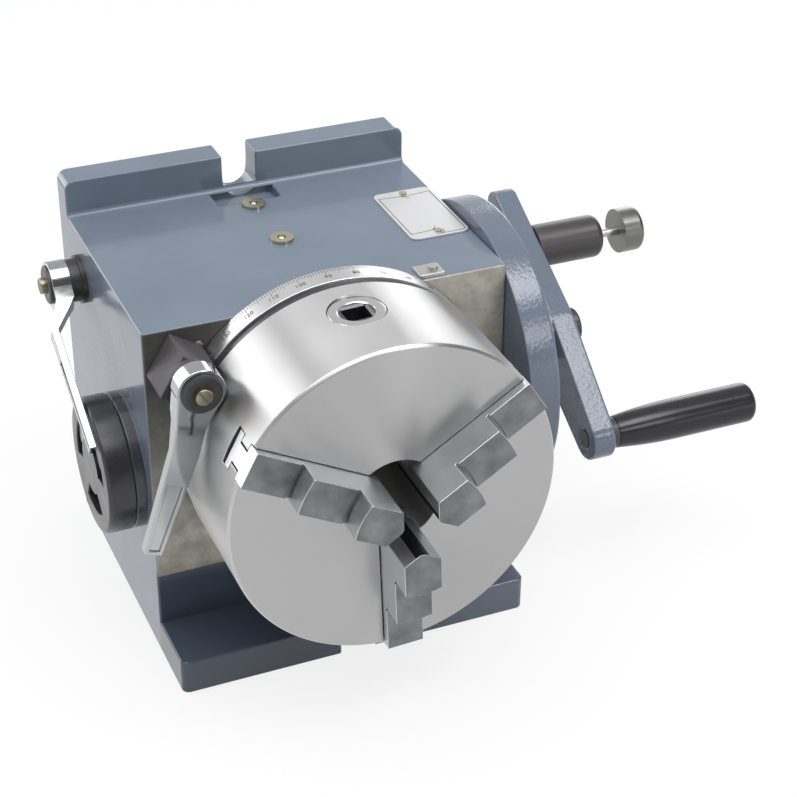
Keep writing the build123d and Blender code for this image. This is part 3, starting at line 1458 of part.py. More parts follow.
# Cranked levers, each with a washer and a stud
clamp_seat_y = -block_run - block_collar
clamp_seat = Vector(clamp_x, clamp_seat_y, clamp_z)
clamp_tip = Vector(clamp_lever_end[0], clamp_seat_y, clamp_lever_end[1])
side_seat = Vector(-body_half - side_bush_run, side_y, side_z)
side_tip = Vector(-body_half - side_bush_run, side_lever_end[0], side_lever_end[1])
lever_kinds = (
    ("clamp", clamp_seat, clamp_tip, Vector(0, -1, 0), clamp_hub_r, clamp_hub_run, clamp_arm_low,
     clamp_arm_high, clamp_shaft_r, clamp_shaft_run - clamp_seat_y, clamp_slim),
    ("side", side_seat, side_tip, Vector(-1, 0, 0), side_hub_r, side_hub_run, side_arm_low,
     side_arm_high, side_shaft_r, side_bush_run + side_shaft_depth, side_slim),
)
for kind, seat, tip, out, hub_r, hub_run, arm_low, arm_high, shaft_r, shaft_sink, slim in lever_kinds:
    along = (tip - seat).normalized()
    reach = (tip - seat).length
    plan = Plane(origin=seat, x_dir=along, z_dir=out)
    profile = Plane(origin=seat, x_dir=along, z_dir=along.cross(out))
    with BuildPart() as lever:
        with BuildSketch(plan):
            Circle(hub_r)
            with BuildLine():
                lever_edge = [
                    (0, hub_r),
                    (lever_waist, slim * lever_waist_half),
                    (lever_grip, slim * lever_half),
                    (reach, slim * lever_end_half),
                ]
                Polyline(*lever_edge, *[(x, -w) for x, w in reversed(lever_edge)], close=True)
            make_face()
        extrude(amount=arm_high)
        with BuildSketch(profile):
            with BuildLine():
                Polyline(
                    (-hub_r - cut_over, 0),
                    (lever_neck, 0),
                    (lever_knee, arm_low),
                    (reach + cut_over, arm_low),
                    (reach + cut_over, arm_high),
                    (lever_knee, arm_high),
                    (lever_neck, hub_run),
                    (-hub_r - cut_over, hub_run),
                    close=True,
                )
            make_face()
        extrude(amount=hub_r + cut_over, both=True, mode=Mode.INTERSECT)
        with BuildSketch(plan):
            Circle(shaft_r + seat_fit)
        extrude(amount=hub_run, mode=Mode.SUBTRACT)
        with BuildSketch(plan.offset(arm_high)):
            with BuildLine():
                flute_edge = [
                    (flute_start, slim * flute_half),
                    (reach - flute_end_rim, slim * flute_end_half),
                ]
                Polyline(*flute_edge, *[(x, -w) for x, w in reversed(flute_edge)], close=True)
            make_face()
        extrude(amount=-flute_depth, mode=Mode.SUBTRACT)
    lever.part.label = f"{kind}_lever"
    export_step(lever.part, f"parts/{kind}_lever.step")

    with BuildPart() as washer:
        with BuildSketch(plan.offset(hub_run)):
            Circle(lever_washer_r)
            Circle(lever_screw_r + seat_fit, mode=Mode.SUBTRACT)
        extrude(amount=lever_washer)
    washer.part.label = f"{kind}_washer"
    export_step(washer.part, f"parts/{kind}_washer.step")

    with BuildPart() as stud:
        with BuildSketch(plan.offset(hub_run)):
            Circle(shaft_r)
        extrude(amount=-hub_run - shaft_sink)
        with BuildSketch(plan.offset(hub_run)):
            Circle(lever_screw_r)
        extrude(amount=lever_washer)
        with BuildSketch(plan.offset(hub_run + lever_washer)):
            Circle(lever_screw_head_r)
        extrude(amount=lever_screw_head)
    stud.part.label = f"{kind}_stud"
    export_step(stud.part, f"parts/{kind}_stud.step")
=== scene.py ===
# %% [markdown]
# # A dividing head on a pale floor
# A dividing head holds a workpiece in a chuck and turns it by exact parts of a turn. The solids of every
# piece come from the CAD model. This lesson dresses them: paint, ground steel, chrome and brass, softened
# edges, the marks on the graduated ring, and a camera and light like those of a catalogue photograph.

# %% Load the CAD model
import bpy
import bmesh
import json
import math
from mathutils import Matrix, Vector


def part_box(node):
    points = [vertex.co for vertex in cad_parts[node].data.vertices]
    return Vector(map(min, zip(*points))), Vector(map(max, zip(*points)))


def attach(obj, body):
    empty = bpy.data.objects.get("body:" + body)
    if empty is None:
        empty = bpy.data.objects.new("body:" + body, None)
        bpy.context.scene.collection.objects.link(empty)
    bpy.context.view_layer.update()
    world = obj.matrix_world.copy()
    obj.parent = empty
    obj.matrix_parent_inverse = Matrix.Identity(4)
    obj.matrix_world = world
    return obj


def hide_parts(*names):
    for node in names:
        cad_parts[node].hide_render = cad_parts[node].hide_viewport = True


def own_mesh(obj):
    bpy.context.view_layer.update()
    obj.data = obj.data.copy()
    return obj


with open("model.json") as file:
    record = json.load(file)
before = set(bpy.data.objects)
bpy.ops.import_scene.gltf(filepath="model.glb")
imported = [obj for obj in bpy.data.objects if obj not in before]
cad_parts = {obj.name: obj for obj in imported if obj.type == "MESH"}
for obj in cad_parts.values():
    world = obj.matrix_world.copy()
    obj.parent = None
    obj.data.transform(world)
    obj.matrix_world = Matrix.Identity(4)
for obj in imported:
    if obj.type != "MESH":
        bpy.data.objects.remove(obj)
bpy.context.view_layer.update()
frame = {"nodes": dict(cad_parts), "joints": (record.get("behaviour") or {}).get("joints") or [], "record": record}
nodes = frame["nodes"]
MM = 0.001
slot_of = {name: node.material_slots[0].material.name for name, node in nodes.items()}
body_of = {name: body for body, names in frame["record"]["behaviour"]["bodies"].items() for name in names}


def in_mm(values):
    return [round(value / MM, 1) for value in values]


# %% [markdown]
# ## Tools for materials
# A finish is never one even colour. Paint has a slight ripple, ground steel has fine scratches, and old
# surfaces carry stains. Each material below starts from one shader and adds detail from noise that is read
# in object coordinates, so that it stays in place when the piece moves.


# %% Start a material
def shader_of(material):
    return material.node_tree.nodes["Principled BSDF"]


def start_material(name, colour, metallic, roughness, specular=0.5):
    material = bpy.data.materials.new(name)
    material.use_nodes = True
    inputs = shader_of(material).inputs
    inputs["Base Color"].default_value = (*colour, 1.0)
    inputs["Metallic"].default_value = metallic
    inputs["Roughness"].default_value = roughness
    inputs["Specular IOR Level"].default_value = specular
    return material


def add(material, kind, **values):
    node = material.node_tree.nodes.new(kind)
    for name, value in values.items():
        setattr(node, name, value)
    return node


def link(material, source, target):
    material.node_tree.links.new(source, target)


def set_input(material, name, source):
    link(material, source, shader_of(material).inputs[name])


def linked_to(material, name):
    return shader_of(material).inputs[name].links[0].from_socket


# %% Read a place on the piece, and the way its surface faces
def parts_of(material, output):
    parts = add(material, "ShaderNodeSeparateXYZ")
    link(material, add(material, "ShaderNodeTexCoord").outputs[output], parts.inputs["Vector"])
    return parts.outputs["X"], parts.outputs["Y"], parts.outputs["Z"]


def coordinates(material):
    return parts_of(material, "Object")


def facing(material):
    return parts_of(material, "Normal")


# %% Sums in a material
def maths(material, operation, first, second=0.0):
    node = add(material, "ShaderNodeMath", operation=operation)
    for value, target in ((first, node.inputs[0]), (second, node.inputs[1])):
        if isinstance(value, (int, float)):
            target.default_value = value
        else:
            link(material, value, target)
    return node.outputs["Value"]


def both(material, first, second):
    return maths(material, "MULTIPLY", first, second)


def faces_squarely(material, face_part):
    flat_enough = 0.8
    return maths(material, "GREATER_THAN", maths(material, "ABSOLUTE", face_part), flat_enough)


# %% Noise, ranges, colours and bumps
def noise(material, scale, detail=3.0, roughness=0.55, stretch=(1.0, 1.0, 1.0)):
    mapping = add(material, "ShaderNodeMapping")
    mapping.inputs["Scale"].default_value = stretch
    link(material, add(material, "ShaderNodeTexCoord").outputs["Object"], mapping.inputs["Vector"])
    texture = add(material, "ShaderNodeTexNoise")
    texture.inputs["Scale"].default_value = scale
    texture.inputs["Detail"].default_value = detail
    texture.inputs["Roughness"].default_value = roughness
    link(material, mapping.outputs["Vector"], texture.inputs["Vector"])
    return texture.outputs["Fac"]


def spread(material, source, low, high, start=0.3, end=0.7):
    span = add(material, "ShaderNodeMapRange")
    span.inputs["From Min"].default_value = start
    span.inputs["From Max"].default_value = end
    span.inputs["To Min"].default_value = low
    span.inputs["To Max"].default_value = high
    link(material, source, span.inputs["Value"])
    return span.outputs["Result"]


def mix_colours(material, fac, first, second):
    mix = add(material, "ShaderNodeMix", data_type="RGBA")
    link(material, fac, mix.inputs["Factor"])
    for value, target in ((first, mix.inputs["A"]), (second, mix.inputs["B"])):
        if isinstance(value, tuple):
            target.default_value = (*value, 1.0)
        else:
            link(material, value, target)
    return mix.outputs["Result"]


def bump(material, source, height, strength):
    node = add(material, "ShaderNodeBump")
    node.inputs["Distance"].default_value = height
    node.inputs["Strength"].default_value = strength
    link(material, source, node.inputs["Height"])
    set_input(material, "Normal", node.outputs["Normal"])


# %% [markdown]
# ## Paint
# The body, the round housing and the crank arm are cast iron under thick gloss enamel in a blue grey. On the
# body the enamel lies over filler and is nearly smooth, so it mirrors the flange behind the top face. On the
# housing and the arm the rough casting shows through as a coarse ripple. One function makes both.

# %% Paint
BODY_COLOUR = (0.131, 0.163, 0.211)
CASTING_COLOUR = (0.120, 0.144, 0.190)
BODY_RIPPLE, BODY_RIPPLE_SCALE = 0.00005, 150.0
CASTING_RIPPLE, CASTING_RIPPLE_SCALE = 0.00026, 620.0
ENAMEL_ROUGHNESS = 0.15
CLOUD_TONE = 0.87


def paint_material(name, colour, ripple, ripple_scale):
    material = start_material(name, colour, 0.0, ENAMEL_ROUGHNESS)
    clouds = spread(material, noise(material, 28.0, detail=4.0), 0.0, 1.0)
    clouded = tuple(part * CLOUD_TONE for part in colour)
    set_input(material, "Base Color", mix_colours(material, clouds, clouded, colour))
    smears = spread(material, noise(material, 70.0), ENAMEL_ROUGHNESS * 0.8, ENAMEL_ROUGHNESS * 1.25)
    set_input(material, "Roughness", smears)
    bump(material, noise(material, ripple_scale, detail=2.0), ripple, 0.5)
    return material


cast_paint = paint_material("cast_paint", CASTING_COLOUR, CASTING_RIPPLE, CASTING_RIPPLE_SCALE)
body_finish = paint_material("body_paint", BODY_COLOUR, BODY_RIPPLE, BODY_RIPPLE_SCALE)
print("paints made:", cast_paint.name, body_finish.name)

# %% [markdown]
# ## Paint and bare iron on the body
# The front of the body is machined so that the chuck can run close to it. That face was left bare: it is a
# dull olive grey with oil stains, and the shader makes it darker towards the top left. The paint of the foot
# below the chuck is darkened, most on the left: painted shade under the chuck. The round boss on the left
# side is made nearly black. The shader finds these places by object coordinates and keeps the blue grey everywhere
# else.

# %% Bare iron of the front face
iron_bottom = 36.2 * MM
iron_depth = 0.25 * MM
dark_corner, bright_corner = -190.0 * MM, -100.0 * MM
across, along, upward = coordinates(body_finish)
bare = both(body_finish, maths(body_finish, "LESS_THAN", along, iron_depth),
            maths(body_finish, "GREATER_THAN", upward, iron_bottom))
blotches = spread(body_finish, noise(body_finish, 45.0, detail=7.0, roughness=0.68), 0.0, 1.0, 0.28, 0.68)
# The bare iron is made darker towards the top left.
from_corner = spread(body_finish, maths(body_finish, "SUBTRACT", across, upward), 0.0, 1.0,
                     dark_corner, bright_corner)
iron_light = mix_colours(body_finish, from_corner, (0.110, 0.112, 0.104), (0.54, 0.52, 0.46))
iron_dark = mix_colours(body_finish, from_corner, (0.060, 0.062, 0.060), (0.17, 0.165, 0.138))
iron_colour = mix_colours(body_finish, blotches, iron_dark, iron_light)
iron_roughness = spread(body_finish, noise(body_finish, 220.0, detail=4.0), 0.38, 0.62)
print("bare iron above mm:", round(iron_bottom / MM, 1))

# %% Dark boss and painted shade on the foot
boss_from = -71.7 * MM
boss_colour = (0.040, 0.042, 0.054)
under_chuck_shade_depth = 2.5 * MM
shade_left, shade_right = -30.0 * MM, 60.0 * MM
painted_shade_colour = (0.050, 0.064, 0.090)
# The round boss on the left side is made nearly black.
on_boss = maths(body_finish, "LESS_THAN", across, boss_from)
painted = mix_colours(body_finish, on_boss, linked_to(body_finish, "Base Color"), boss_colour)
# Painted shade: the paint of the foot under the chuck is darkened, most on the left.
below_chuck = both(body_finish, maths(body_finish, "LESS_THAN", along, under_chuck_shade_depth),
                   maths(body_finish, "LESS_THAN", upward, iron_bottom + under_chuck_shade_depth))
painted_shade_share = both(body_finish, below_chuck, spread(body_finish, across, 1.0, 0.35, shade_left, shade_right))
painted = mix_colours(body_finish, painted_shade_share, painted, painted_shade_colour)
print("boss is dark beyond mm:", round(boss_from / MM, 1))

# %% Join paint and iron
iron_metallic = 0.55
roughness_mix = add(body_finish, "ShaderNodeMix", data_type="FLOAT")
link(body_finish, bare, roughness_mix.inputs["Factor"])
link(body_finish, linked_to(body_finish, "Roughness"), roughness_mix.inputs["A"])
link(body_finish, iron_roughness, roughness_mix.inputs["B"])
set_input(body_finish, "Roughness", roughness_mix.outputs["Result"])
set_input(body_finish, "Base Color", mix_colours(body_finish, bare, painted, iron_colour))
set_input(body_finish, "Metallic", both(body_finish, bare, iron_metallic))
print("body finish made:", body_finish.name)

# %% [markdown]
# ## Steel
# Steel is all reflection, so its look comes from how rough it is. Fine noise in the roughness and a very low
# bump stand for the marks of grinding and handling. The same function makes brass, and with no metal in the
# shader it makes black oxide and plastic.

# %% Steel
PATCH_TONE = 0.86


def steel_material(name, colour, roughness, scratch_scale, scratch_height, metallic=1.0, specular=0.5,
                   stretch=(1.0, 1.0, 1.0)):
    material = start_material(name, colour, metallic, roughness, specular)
    scratches = noise(material, scratch_scale, detail=4.0, roughness=0.7, stretch=stretch)
    patches = noise(material, 60.0, detail=3.0)
    rough = maths(material, "ADD", spread(material, patches, roughness * 0.85, roughness * 1.2),
                  spread(material, scratches, -0.03, 0.03))
    set_input(material, "Roughness", rough)
    darker = tuple(value * PATCH_TONE for value in colour)
    set_input(material, "Base Color", mix_colours(material, patches, darker, colour))
    bump(material, scratches, scratch_height, 0.4)
    return material


# %% [markdown]
# ## Turned steel
# The chuck and the graduated ring were turned on a lathe and ground. The tool leaves fine grooves round the
# spindle axis, and grooves stretch a highlight across themselves: that makes the bright fans on the chuck's
# face. The shader is told the direction of the grooves as a vector that runs round the axis, and a noise
# that changes only with the distance from the axis draws the faint rings of the tool. The flat faces get a
# darker grey than the round sides: painted shade.

# %% Places about the spindle axis
axis_z = frame["joints"][0]["pos_m"][2]


def about_axis(material):
    across, along, upward = coordinates(material)
    rise = maths(material, "SUBTRACT", upward, axis_z)
    radius = maths(material, "SQRT", maths(material, "ADD", both(material, across, across),
                                           both(material, rise, rise)))
    return across, along, rise, radius


# %% Turned steel
RING_SCALE = 1500.0
RING_TONE = 0.96


def ringed_colour(material, rings, grey):
    return mix_colours(material, rings, (grey * RING_TONE,) * 3, (grey,) * 3)


def turned_material(name, side_grey, shaded_face_grey, roughness, strength):
    material = start_material(name, (side_grey,) * 3, 1.0, roughness)
    across, along, rise, radius = about_axis(material)
    texture = add(material, "ShaderNodeTexNoise", noise_dimensions="1D")
    texture.inputs["Scale"].default_value = RING_SCALE
    texture.inputs["Detail"].default_value = 4.0
    link(material, maths(material, "ADD", radius, along), texture.inputs["W"])
    rings = texture.outputs["Fac"]
    stains = spread(material, noise(material, 40.0, detail=5.0), roughness * 0.94, roughness * 1.08)
    set_input(material, "Roughness", maths(material, "ADD", spread(material, rings, -0.012, 0.012), stains))
    side, face = (ringed_colour(material, rings, grey) for grey in (side_grey, shaded_face_grey))
    # Painted shade: faces that look along the axis get the darker shaded face grey.
    flat = faces_squarely(material, facing(material)[1])
    set_input(material, "Base Color", mix_colours(material, flat, side, face))
    groove = add(material, "ShaderNodeCombineXYZ")
    link(material, both(material, rise, -1.0), groove.inputs["X"])
    link(material, across, groove.inputs["Z"])
    turned = add(material, "ShaderNodeVectorTransform", vector_type="VECTOR", convert_from="OBJECT",
                 convert_to="WORLD")
    link(material, groove.outputs["Vector"], turned.inputs["Vector"])
    set_input(material, "Tangent", turned.outputs["Vector"])
    shader_of(material).inputs["Anisotropic"].default_value = strength
    shader_of(material).inputs["Anisotropic Rotation"].default_value = 0.25
    return material


chuck_steel = turned_material("chuck_steel", side_grey=0.56, shaded_face_grey=0.45, roughness=0.32, strength=0.9)
ring_steel = turned_material("ring_steel", side_grey=0.64, shaded_face_grey=0.58, roughness=0.34, strength=0.5)
print("turned steel made about axis height mm:", round(axis_z / MM, 1))

# %% [markdown]
# ## Jaw steel
# The jaws are hardened and ground. Their sides are polished by sliding in the chuck. The faces of their
# steps that look along the axis get a darker, streaked grey: painted shade and painted reflection. The hollow
# faces that grip a bar, which turn in towards the axis, are made nearly black: painted shade. The shader
# tells them apart by the direction that the surface faces.

# %% Jaw steel
inward_enough = -0.75
gripping_face_shade_black = (0.05, 0.05, 0.055)
jaw_steel = steel_material("jaw_steel_finish", (0.74, 0.745, 0.76), 0.34, 700.0, 0.000008,
                           stretch=(1.0, 0.3, 1.0))
across, along, rise, radius = about_axis(jaw_steel)
face_x, face_y, face_z = facing(jaw_steel)
outward = maths(jaw_steel, "ADD", both(jaw_steel, face_x, across), both(jaw_steel, face_z, rise))
gripping = maths(jaw_steel, "LESS_THAN", maths(jaw_steel, "DIVIDE", outward, radius), inward_enough)
# Painted shade and painted reflection: the step faces that look along the axis get a darker, streaked grey.
streaks = spread(jaw_steel, noise(jaw_steel, 90.0, detail=4.0), 0.0, 1.0)
step_painted_shade_colour = mix_colours(jaw_steel, streaks, (0.13, 0.134, 0.142), (0.25, 0.255, 0.265))
side_and_shaded_step_colour = mix_colours(jaw_steel, faces_squarely(jaw_steel, face_y), linked_to(jaw_steel, "Base Color"),
                            step_painted_shade_colour)
# Painted shade: the faces that turn in towards the axis are made nearly black.
set_input(jaw_steel, "Base Color", mix_colours(jaw_steel, gripping, side_and_shaded_step_colour, gripping_face_shade_black))
print("jaw steel made:", jaw_steel.name)

# %% [markdown]
# ## Chrome
# The levers are chromed. Their flat faces that look forward or back get cloudy, darker tones: painted
# reflection of the dark surroundings. The edges and the round hubs stay bright.

# %% Chrome
chrome = steel_material("chrome_finish", (0.50, 0.51, 0.52), 0.11, 300.0, 0.00002)
clouds = noise(chrome, 55.0, detail=1.0, roughness=0.5, stretch=(1.0, 1.0, 0.6))
# Painted reflection: cloudy darker tones on the flat faces that look forward or back.
chrome_painted_reflection = mix_colours(chrome, spread(chrome, clouds, 0.0, 1.0), (0.20, 0.21, 0.22), (0.46, 0.47, 0.48))
front_or_back_face = faces_squarely(chrome, facing(chrome)[1])
set_input(chrome, "Base Color", mix_colours(chrome, front_or_back_face, linked_to(chrome, "Base Color"), chrome_painted_reflection))
print("chrome made:", chrome.name)

# %% [markdown]
# ## Other finishes
# The plunger sleeve and the washers are blackened, the oilers are brass, and the grip is a glossy black
# plastic. Each CAD node gets the finish of its slot. A few nodes are darker than the rest of their slot: the
# plate behind the chuck, in the groove between the chuck and the ring, is made black, and the key pinions are dark
# with grease.

# %% Finishes by slot
finishes = {
    "paint": cast_paint,
    "ground_steel": ring_steel,
    "jaw_steel": jaw_steel,
    "chrome": chrome,
    "inner_steel": steel_material("turned_steel_finish", (0.50, 0.50, 0.49), 0.32, 500.0, 0.00003),
    "black_steel": steel_material("blackened_finish", (0.060, 0.057, 0.059), 0.36, 600.0, 0.00003, 0.4),
    "knob_steel": steel_material("knob_finish", (0.19, 0.19, 0.178), 0.30, 500.0, 0.00003),
    "bronze": steel_material("bronze_finish", (0.50, 0.33, 0.16), 0.34, 500.0, 0.00003),
    "brass": steel_material("brass_finish", (0.55, 0.52, 0.40), 0.28, 500.0, 0.00003),
    "grip_plastic": steel_material("grip_plastic_finish", (0.020, 0.020, 0.024), 0.20, 200.0, 0.00003,
                                   metallic=0.0, specular=0.32),
    "name_alloy": steel_material("plate_alloy_finish", (0.60, 0.60, 0.61), 0.40, 500.0, 0.00002, 0.5),
}
for name, node in nodes.items():
    node.material_slots[0].material = finishes[slot_of[name]]
print("finished nodes:", len(nodes), "with finishes:", len(finishes))

# %% Darker nodes
cover_and_back_plate_black = steel_material("cover_and_back_plate_black_finish", (0.030, 0.030, 0.034), 0.26, 260.0, 0.00015, metallic=0.0)
dark_steel = steel_material("dark_steel_finish", (0.13, 0.13, 0.135), 0.38, 500.0, 0.00002)
darker_nodes = {"chuck_back_plate": cover_and_back_plate_black, "pinion_1": dark_steel, "pinion_2": dark_steel,
                "pinion_3": dark_steel}
for name, finish in darker_nodes.items():
    nodes[name].material_slots[0].material = finish
print("darker nodes:", sorted(darker_nodes))

# %% [markdown]
# ## Softer edges
# A casting or a ground piece never has a knife edge: the paint rounds it, or a file breaks it. A thin bright
# line runs along such an edge. The CAD mesh is loose triangles, so a copy is merged first, flat triangles are
# joined into whole faces, and then the sharp edges are bevelled. The copy stands for the node.

# %% Make a piece from a shape
SMOOTH_BELOW = math.radians(48.0)


def add_piece(name, shape, body, finish):
    for face in shape.faces:
        face.smooth = True
    for edge in shape.edges:
        edge.smooth = len(edge.link_faces) == 2 and edge.calc_face_angle(0.0) < SMOOTH_BELOW
    mesh = bpy.data.meshes.new(name)
    shape.to_mesh(mesh)
    shape.free()
    mesh.materials.append(finish)
    piece = bpy.data.objects.new(name, mesh)
    bpy.context.collection.objects.link(piece)
    even = piece.modifiers.new("even_shading", "WEIGHTED_NORMAL")
    even.keep_sharp = True
    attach(piece, body)
    return piece


# %% Copy a node and bevel its edges
MERGE_WITHIN = 0.002 * MM
FLAT_WITHIN = math.radians(0.4)


def merged_copy(node_name):
    shape = bmesh.new()
    shape.from_mesh(nodes[node_name].data)
    bmesh.ops.remove_doubles(shape, verts=shape.verts, dist=MERGE_WITHIN)
    return shape


def flat_faced_copy(node_name):
    shape = merged_copy(node_name)
    bmesh.ops.dissolve_limit(shape, angle_limit=FLAT_WITHIN, verts=shape.verts, edges=shape.edges)
    return shape


def soft_copy(node_name, width, finish=None, chosen=lambda spot, length: True, sharp_from=40.0):
    shape = flat_faced_copy(node_name)
    sharp = [edge for edge in shape.edges
             if edge.is_convex and edge.calc_face_angle(0.0) > math.radians(sharp_from)
             and chosen((edge.verts[0].co + edge.verts[1].co) / 2 / MM, edge.calc_length() / MM)]
    bmesh.ops.bevel(shape, geom=sharp, offset=width * MM, offset_type="OFFSET", affect="EDGES",
                    segments=3, profile=0.5, material=-1, clamp_overlap=False)
    bmesh.ops.remove_doubles(shape, verts=shape.verts, dist=MERGE_WITHIN / 2)
    slot_name = slot_of[node_name]
    piece = add_piece(f"{node_name}_soft", shape, body_of[node_name], finish or finishes[slot_name])
    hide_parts(node_name)
    return piece


# %% Soften the body and the chuck
def outside_of_body(spot, length):
    in_hollow = abs(spot.x) < 66 and 8 < spot.y < 106 and spot.z < 141
    in_slot_floor = abs(spot.x) < 14.5 and spot.y > 96 and 137 < spot.z < 146.5
    in_side_hole = spot.x < -66 and math.hypot(spot.y - 31.5, spot.z - 72.1) < 25
    return not (in_hollow or in_slot_floor or in_side_hole)


def outside_of_chuck(spot, length):
    in_rear_hollow = -45 < spot.y < -22
    return not in_rear_hollow


soft_pieces = {
    "body_casting": soft_copy("body_casting", 0.8, body_finish, outside_of_body),
    "chuck_body": soft_copy("chuck_body", 0.35, chuck_steel, outside_of_chuck),
}
print("softened faces:", {name: len(piece.data.polygons) for name, piece in soft_pieces.items()})

# %% Soften the smaller pieces
edge_widths = {"crank_arm": 1.0, "clamp_lever": 0.5, "side_lever": 0.3, "graduated_ring": 0.3,
               "zero_pointer": 0.25, "plunger_barrel": 0.4, "index_plate": 0.3, "crank_nut": 0.4,
               "name_plate": 0.15}
for node_name, width in edge_widths.items():
    soft_pieces[node_name] = soft_copy(node_name, width)


def housing_rim(spot, length):
    return math.hypot(spot.y - 34, spot.z - 88.5) > 58


def outside_of_jaw(spot, length):
    return spot.y < -60


block_black = steel_material("block_finish", (0.062, 0.058, 0.062), 0.46, 420.0, 0.00006, metallic=0.0,
                             specular=0.22)
soft_pieces["gear_housing"] = soft_copy("gear_housing", 0.5, chosen=housing_rim, sharp_from=50.0)
soft_pieces["clamp_block"] = soft_copy("clamp_block", 0.5, block_black, lambda spot, length: length > 1.2)
soft_pieces["worm_end_cover"] = soft_copy("worm_end_cover", 0.5, cover_and_back_plate_black, lambda spot, length: length > 0.9)
for number in (1, 2, 3):
    soft_pieces[f"jaw_{number}"] = soft_copy(f"jaw_{number}", 0.35, chosen=outside_of_jaw)
print("softened pieces:", len(soft_pieces))

# %% [markdown]
# ## Plunger spring
# Inside the sleeve a steel coil spring pushes the index pin into its hole. Its outer end rests on the sleeve
# and stays there. When the knob is pulled, the pin's collar shortens the spring. The coil here is a merged
# copy of the CAD node with a mesh of its own.

# %% Plunger spring
spring = add_piece("plunger_spring_coil", merged_copy("plunger_spring"), body_of["plunger_spring"],
                   finishes[slot_of["plunger_spring"]])
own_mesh(spring)
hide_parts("plunger_spring")

# %% [markdown]
# ## Marks on the graduated ring
# The ring shows the angle of the spindle. It has a short line for every degree, longer ones at five and ten,
# and a plain number at every ten degrees. Real marks are cut and filled with black. Here each mark is a thin
# bar let into the ring so that only its dark face shows.

# %% Ink and places on the ring
ring_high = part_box("graduated_ring")[1]
ring_r, ring_rear = ring_high.x, ring_high.y
zero_turn = 2.5
ink = start_material("mark_ink", (0.030, 0.030, 0.032), 0.0, 0.55)
set_input(ink, "Roughness", spread(ink, noise(ink, 900.0), 0.45, 0.75))
set_input(ink, "Base Color", mix_colours(ink, noise(ink, 500.0), (0.022, 0.022, 0.024), (0.10, 0.10, 0.10)))


def on_ring(degree, inset):
    turn = math.radians(degree + zero_turn)
    out = Vector((math.cos(turn), 0.0, math.sin(turn)))
    up = Vector((0.0, 1.0, 0.0))
    right = up.cross(out)
    spot = Vector((0.0, ring_rear - inset, axis_z)) + out * ring_r
    return Matrix.Translation(spot) @ Matrix((right, up, out)).transposed().to_4x4()


print("ring radius mm:", round(ring_r / MM, 1))

# %% Ring lines
line_width, line_thickness, line_margin = 0.22 * MM, 0.08 * MM, 0.4 * MM


def line_length(degree):
    if degree % 10 == 0:
        return 3.4 * MM
    if degree % 5 == 0:
        return 2.7 * MM
    return 1.9 * MM


line_shape = bmesh.new()
for degree in range(360):
    length = line_length(degree)
    size = Matrix.Diagonal((line_width, length, line_thickness, 1.0))
    bmesh.ops.create_cube(line_shape, size=1.0, matrix=on_ring(degree, line_margin + length / 2) @ size)
ring_lines = add_piece("ring_lines", line_shape, "spindle_head", ink)
print("ring lines:", len(ring_lines.data.polygons) // 6)

# %% Ring numbers
number_height, number_thickness, number_inset = 2.9 * MM, 0.06 * MM, 5.6 * MM
number_shape = bmesh.new()
for degree in range(0, 360, 10):
    text = bpy.data.curves.new("ring_number", "FONT")
    text.body = str(degree)
    text.size = number_height
    text.align_x = "CENTER"
    text.align_y = "CENTER"
    text.extrude = number_thickness
    text.resolution_u = 2
    word = bpy.data.objects.new("ring_number", text)
    bpy.context.collection.objects.link(word)
    bpy.context.view_layer.update()
    word_mesh = bpy.data.meshes.new_from_object(word.evaluated_get(bpy.context.evaluated_depsgraph_get()))
    word_mesh.transform(on_ring(degree, number_inset))
    number_shape.from_mesh(word_mesh)
    bpy.data.objects.remove(word)
    bpy.data.curves.remove(text)
    bpy.data.meshes.remove(word_mesh)
bmesh.ops.remove_doubles(number_shape, verts=number_shape.verts, dist=MERGE_WITHIN)
ring_numbers = add_piece("ring_numbers", number_shape, "spindle_head", ink)
print("ring numbers, faces:", len(ring_numbers.data.polygons))

# %% [markdown]
# ## Lever screws
# Each lever is held by a brass cheese-head screw over a black cup washer. The head is a turned profile spun
# about its axis. The slot is made by cutting a second, higher profile with two planes, which leaves a gap
# between its halves.


# %% Spun profiles
def spun(profile, steps=40):
    shape = bmesh.new()
    corners = [shape.verts.new((radius * MM, 0.0, height * MM)) for radius, height in profile]
    edges = [shape.edges.new(pair) for pair in zip(corners, corners[1:])]
    bmesh.ops.spin(shape, geom=corners + edges, axis=(0, 0, 1), cent=(0, 0, 0), angle=math.tau, steps=steps,
                   use_merge=True)
    bmesh.ops.remove_doubles(shape, verts=shape.verts, dist=MERGE_WITHIN / 2)
    bmesh.ops.recalc_face_normals(shape, faces=shape.faces)
    return shape


def stand_on(shape, centre, out, turn=0.0):
    upright = Vector(out).to_track_quat("Z", "Y").to_matrix().to_4x4()
    bmesh.ops.transform(shape, verts=shape.verts, matrix=Matrix.Translation(centre) @ upright
                        @ Matrix.Rotation(math.radians(turn), 4, "Z"))
    return shape


# %% Slotted head
def slotted_head(radius, floor, top, slot_width):
    shape = spun([(0, 0), (radius, 0), (radius, floor), (0, floor)])
    rim = radius * 0.9
    sunk = floor - 0.02
    upper_profile = [(0, sunk), (radius, sunk), (radius, top - radius + rim), (rim, top), (0, top)]
    for side in (-1, 1):
        half = spun(upper_profile)
        cut = bmesh.ops.bisect_plane(half, geom=half.verts[:] + half.edges[:] + half.faces[:],
                                     plane_co=(side * slot_width * MM / 2, 0, 0), plane_no=(-side, 0, 0),
                                     clear_outer=True)
        cut_edges = [item for item in cut["geom_cut"] if isinstance(item, bmesh.types.BMEdge)]
        bmesh.ops.holes_fill(half, edges=cut_edges)
        half_mesh = bpy.data.meshes.new("half_head")
        half.to_mesh(half_mesh)
        half.free()
        shape.from_mesh(half_mesh)
        bpy.data.meshes.remove(half_mesh)
    return shape


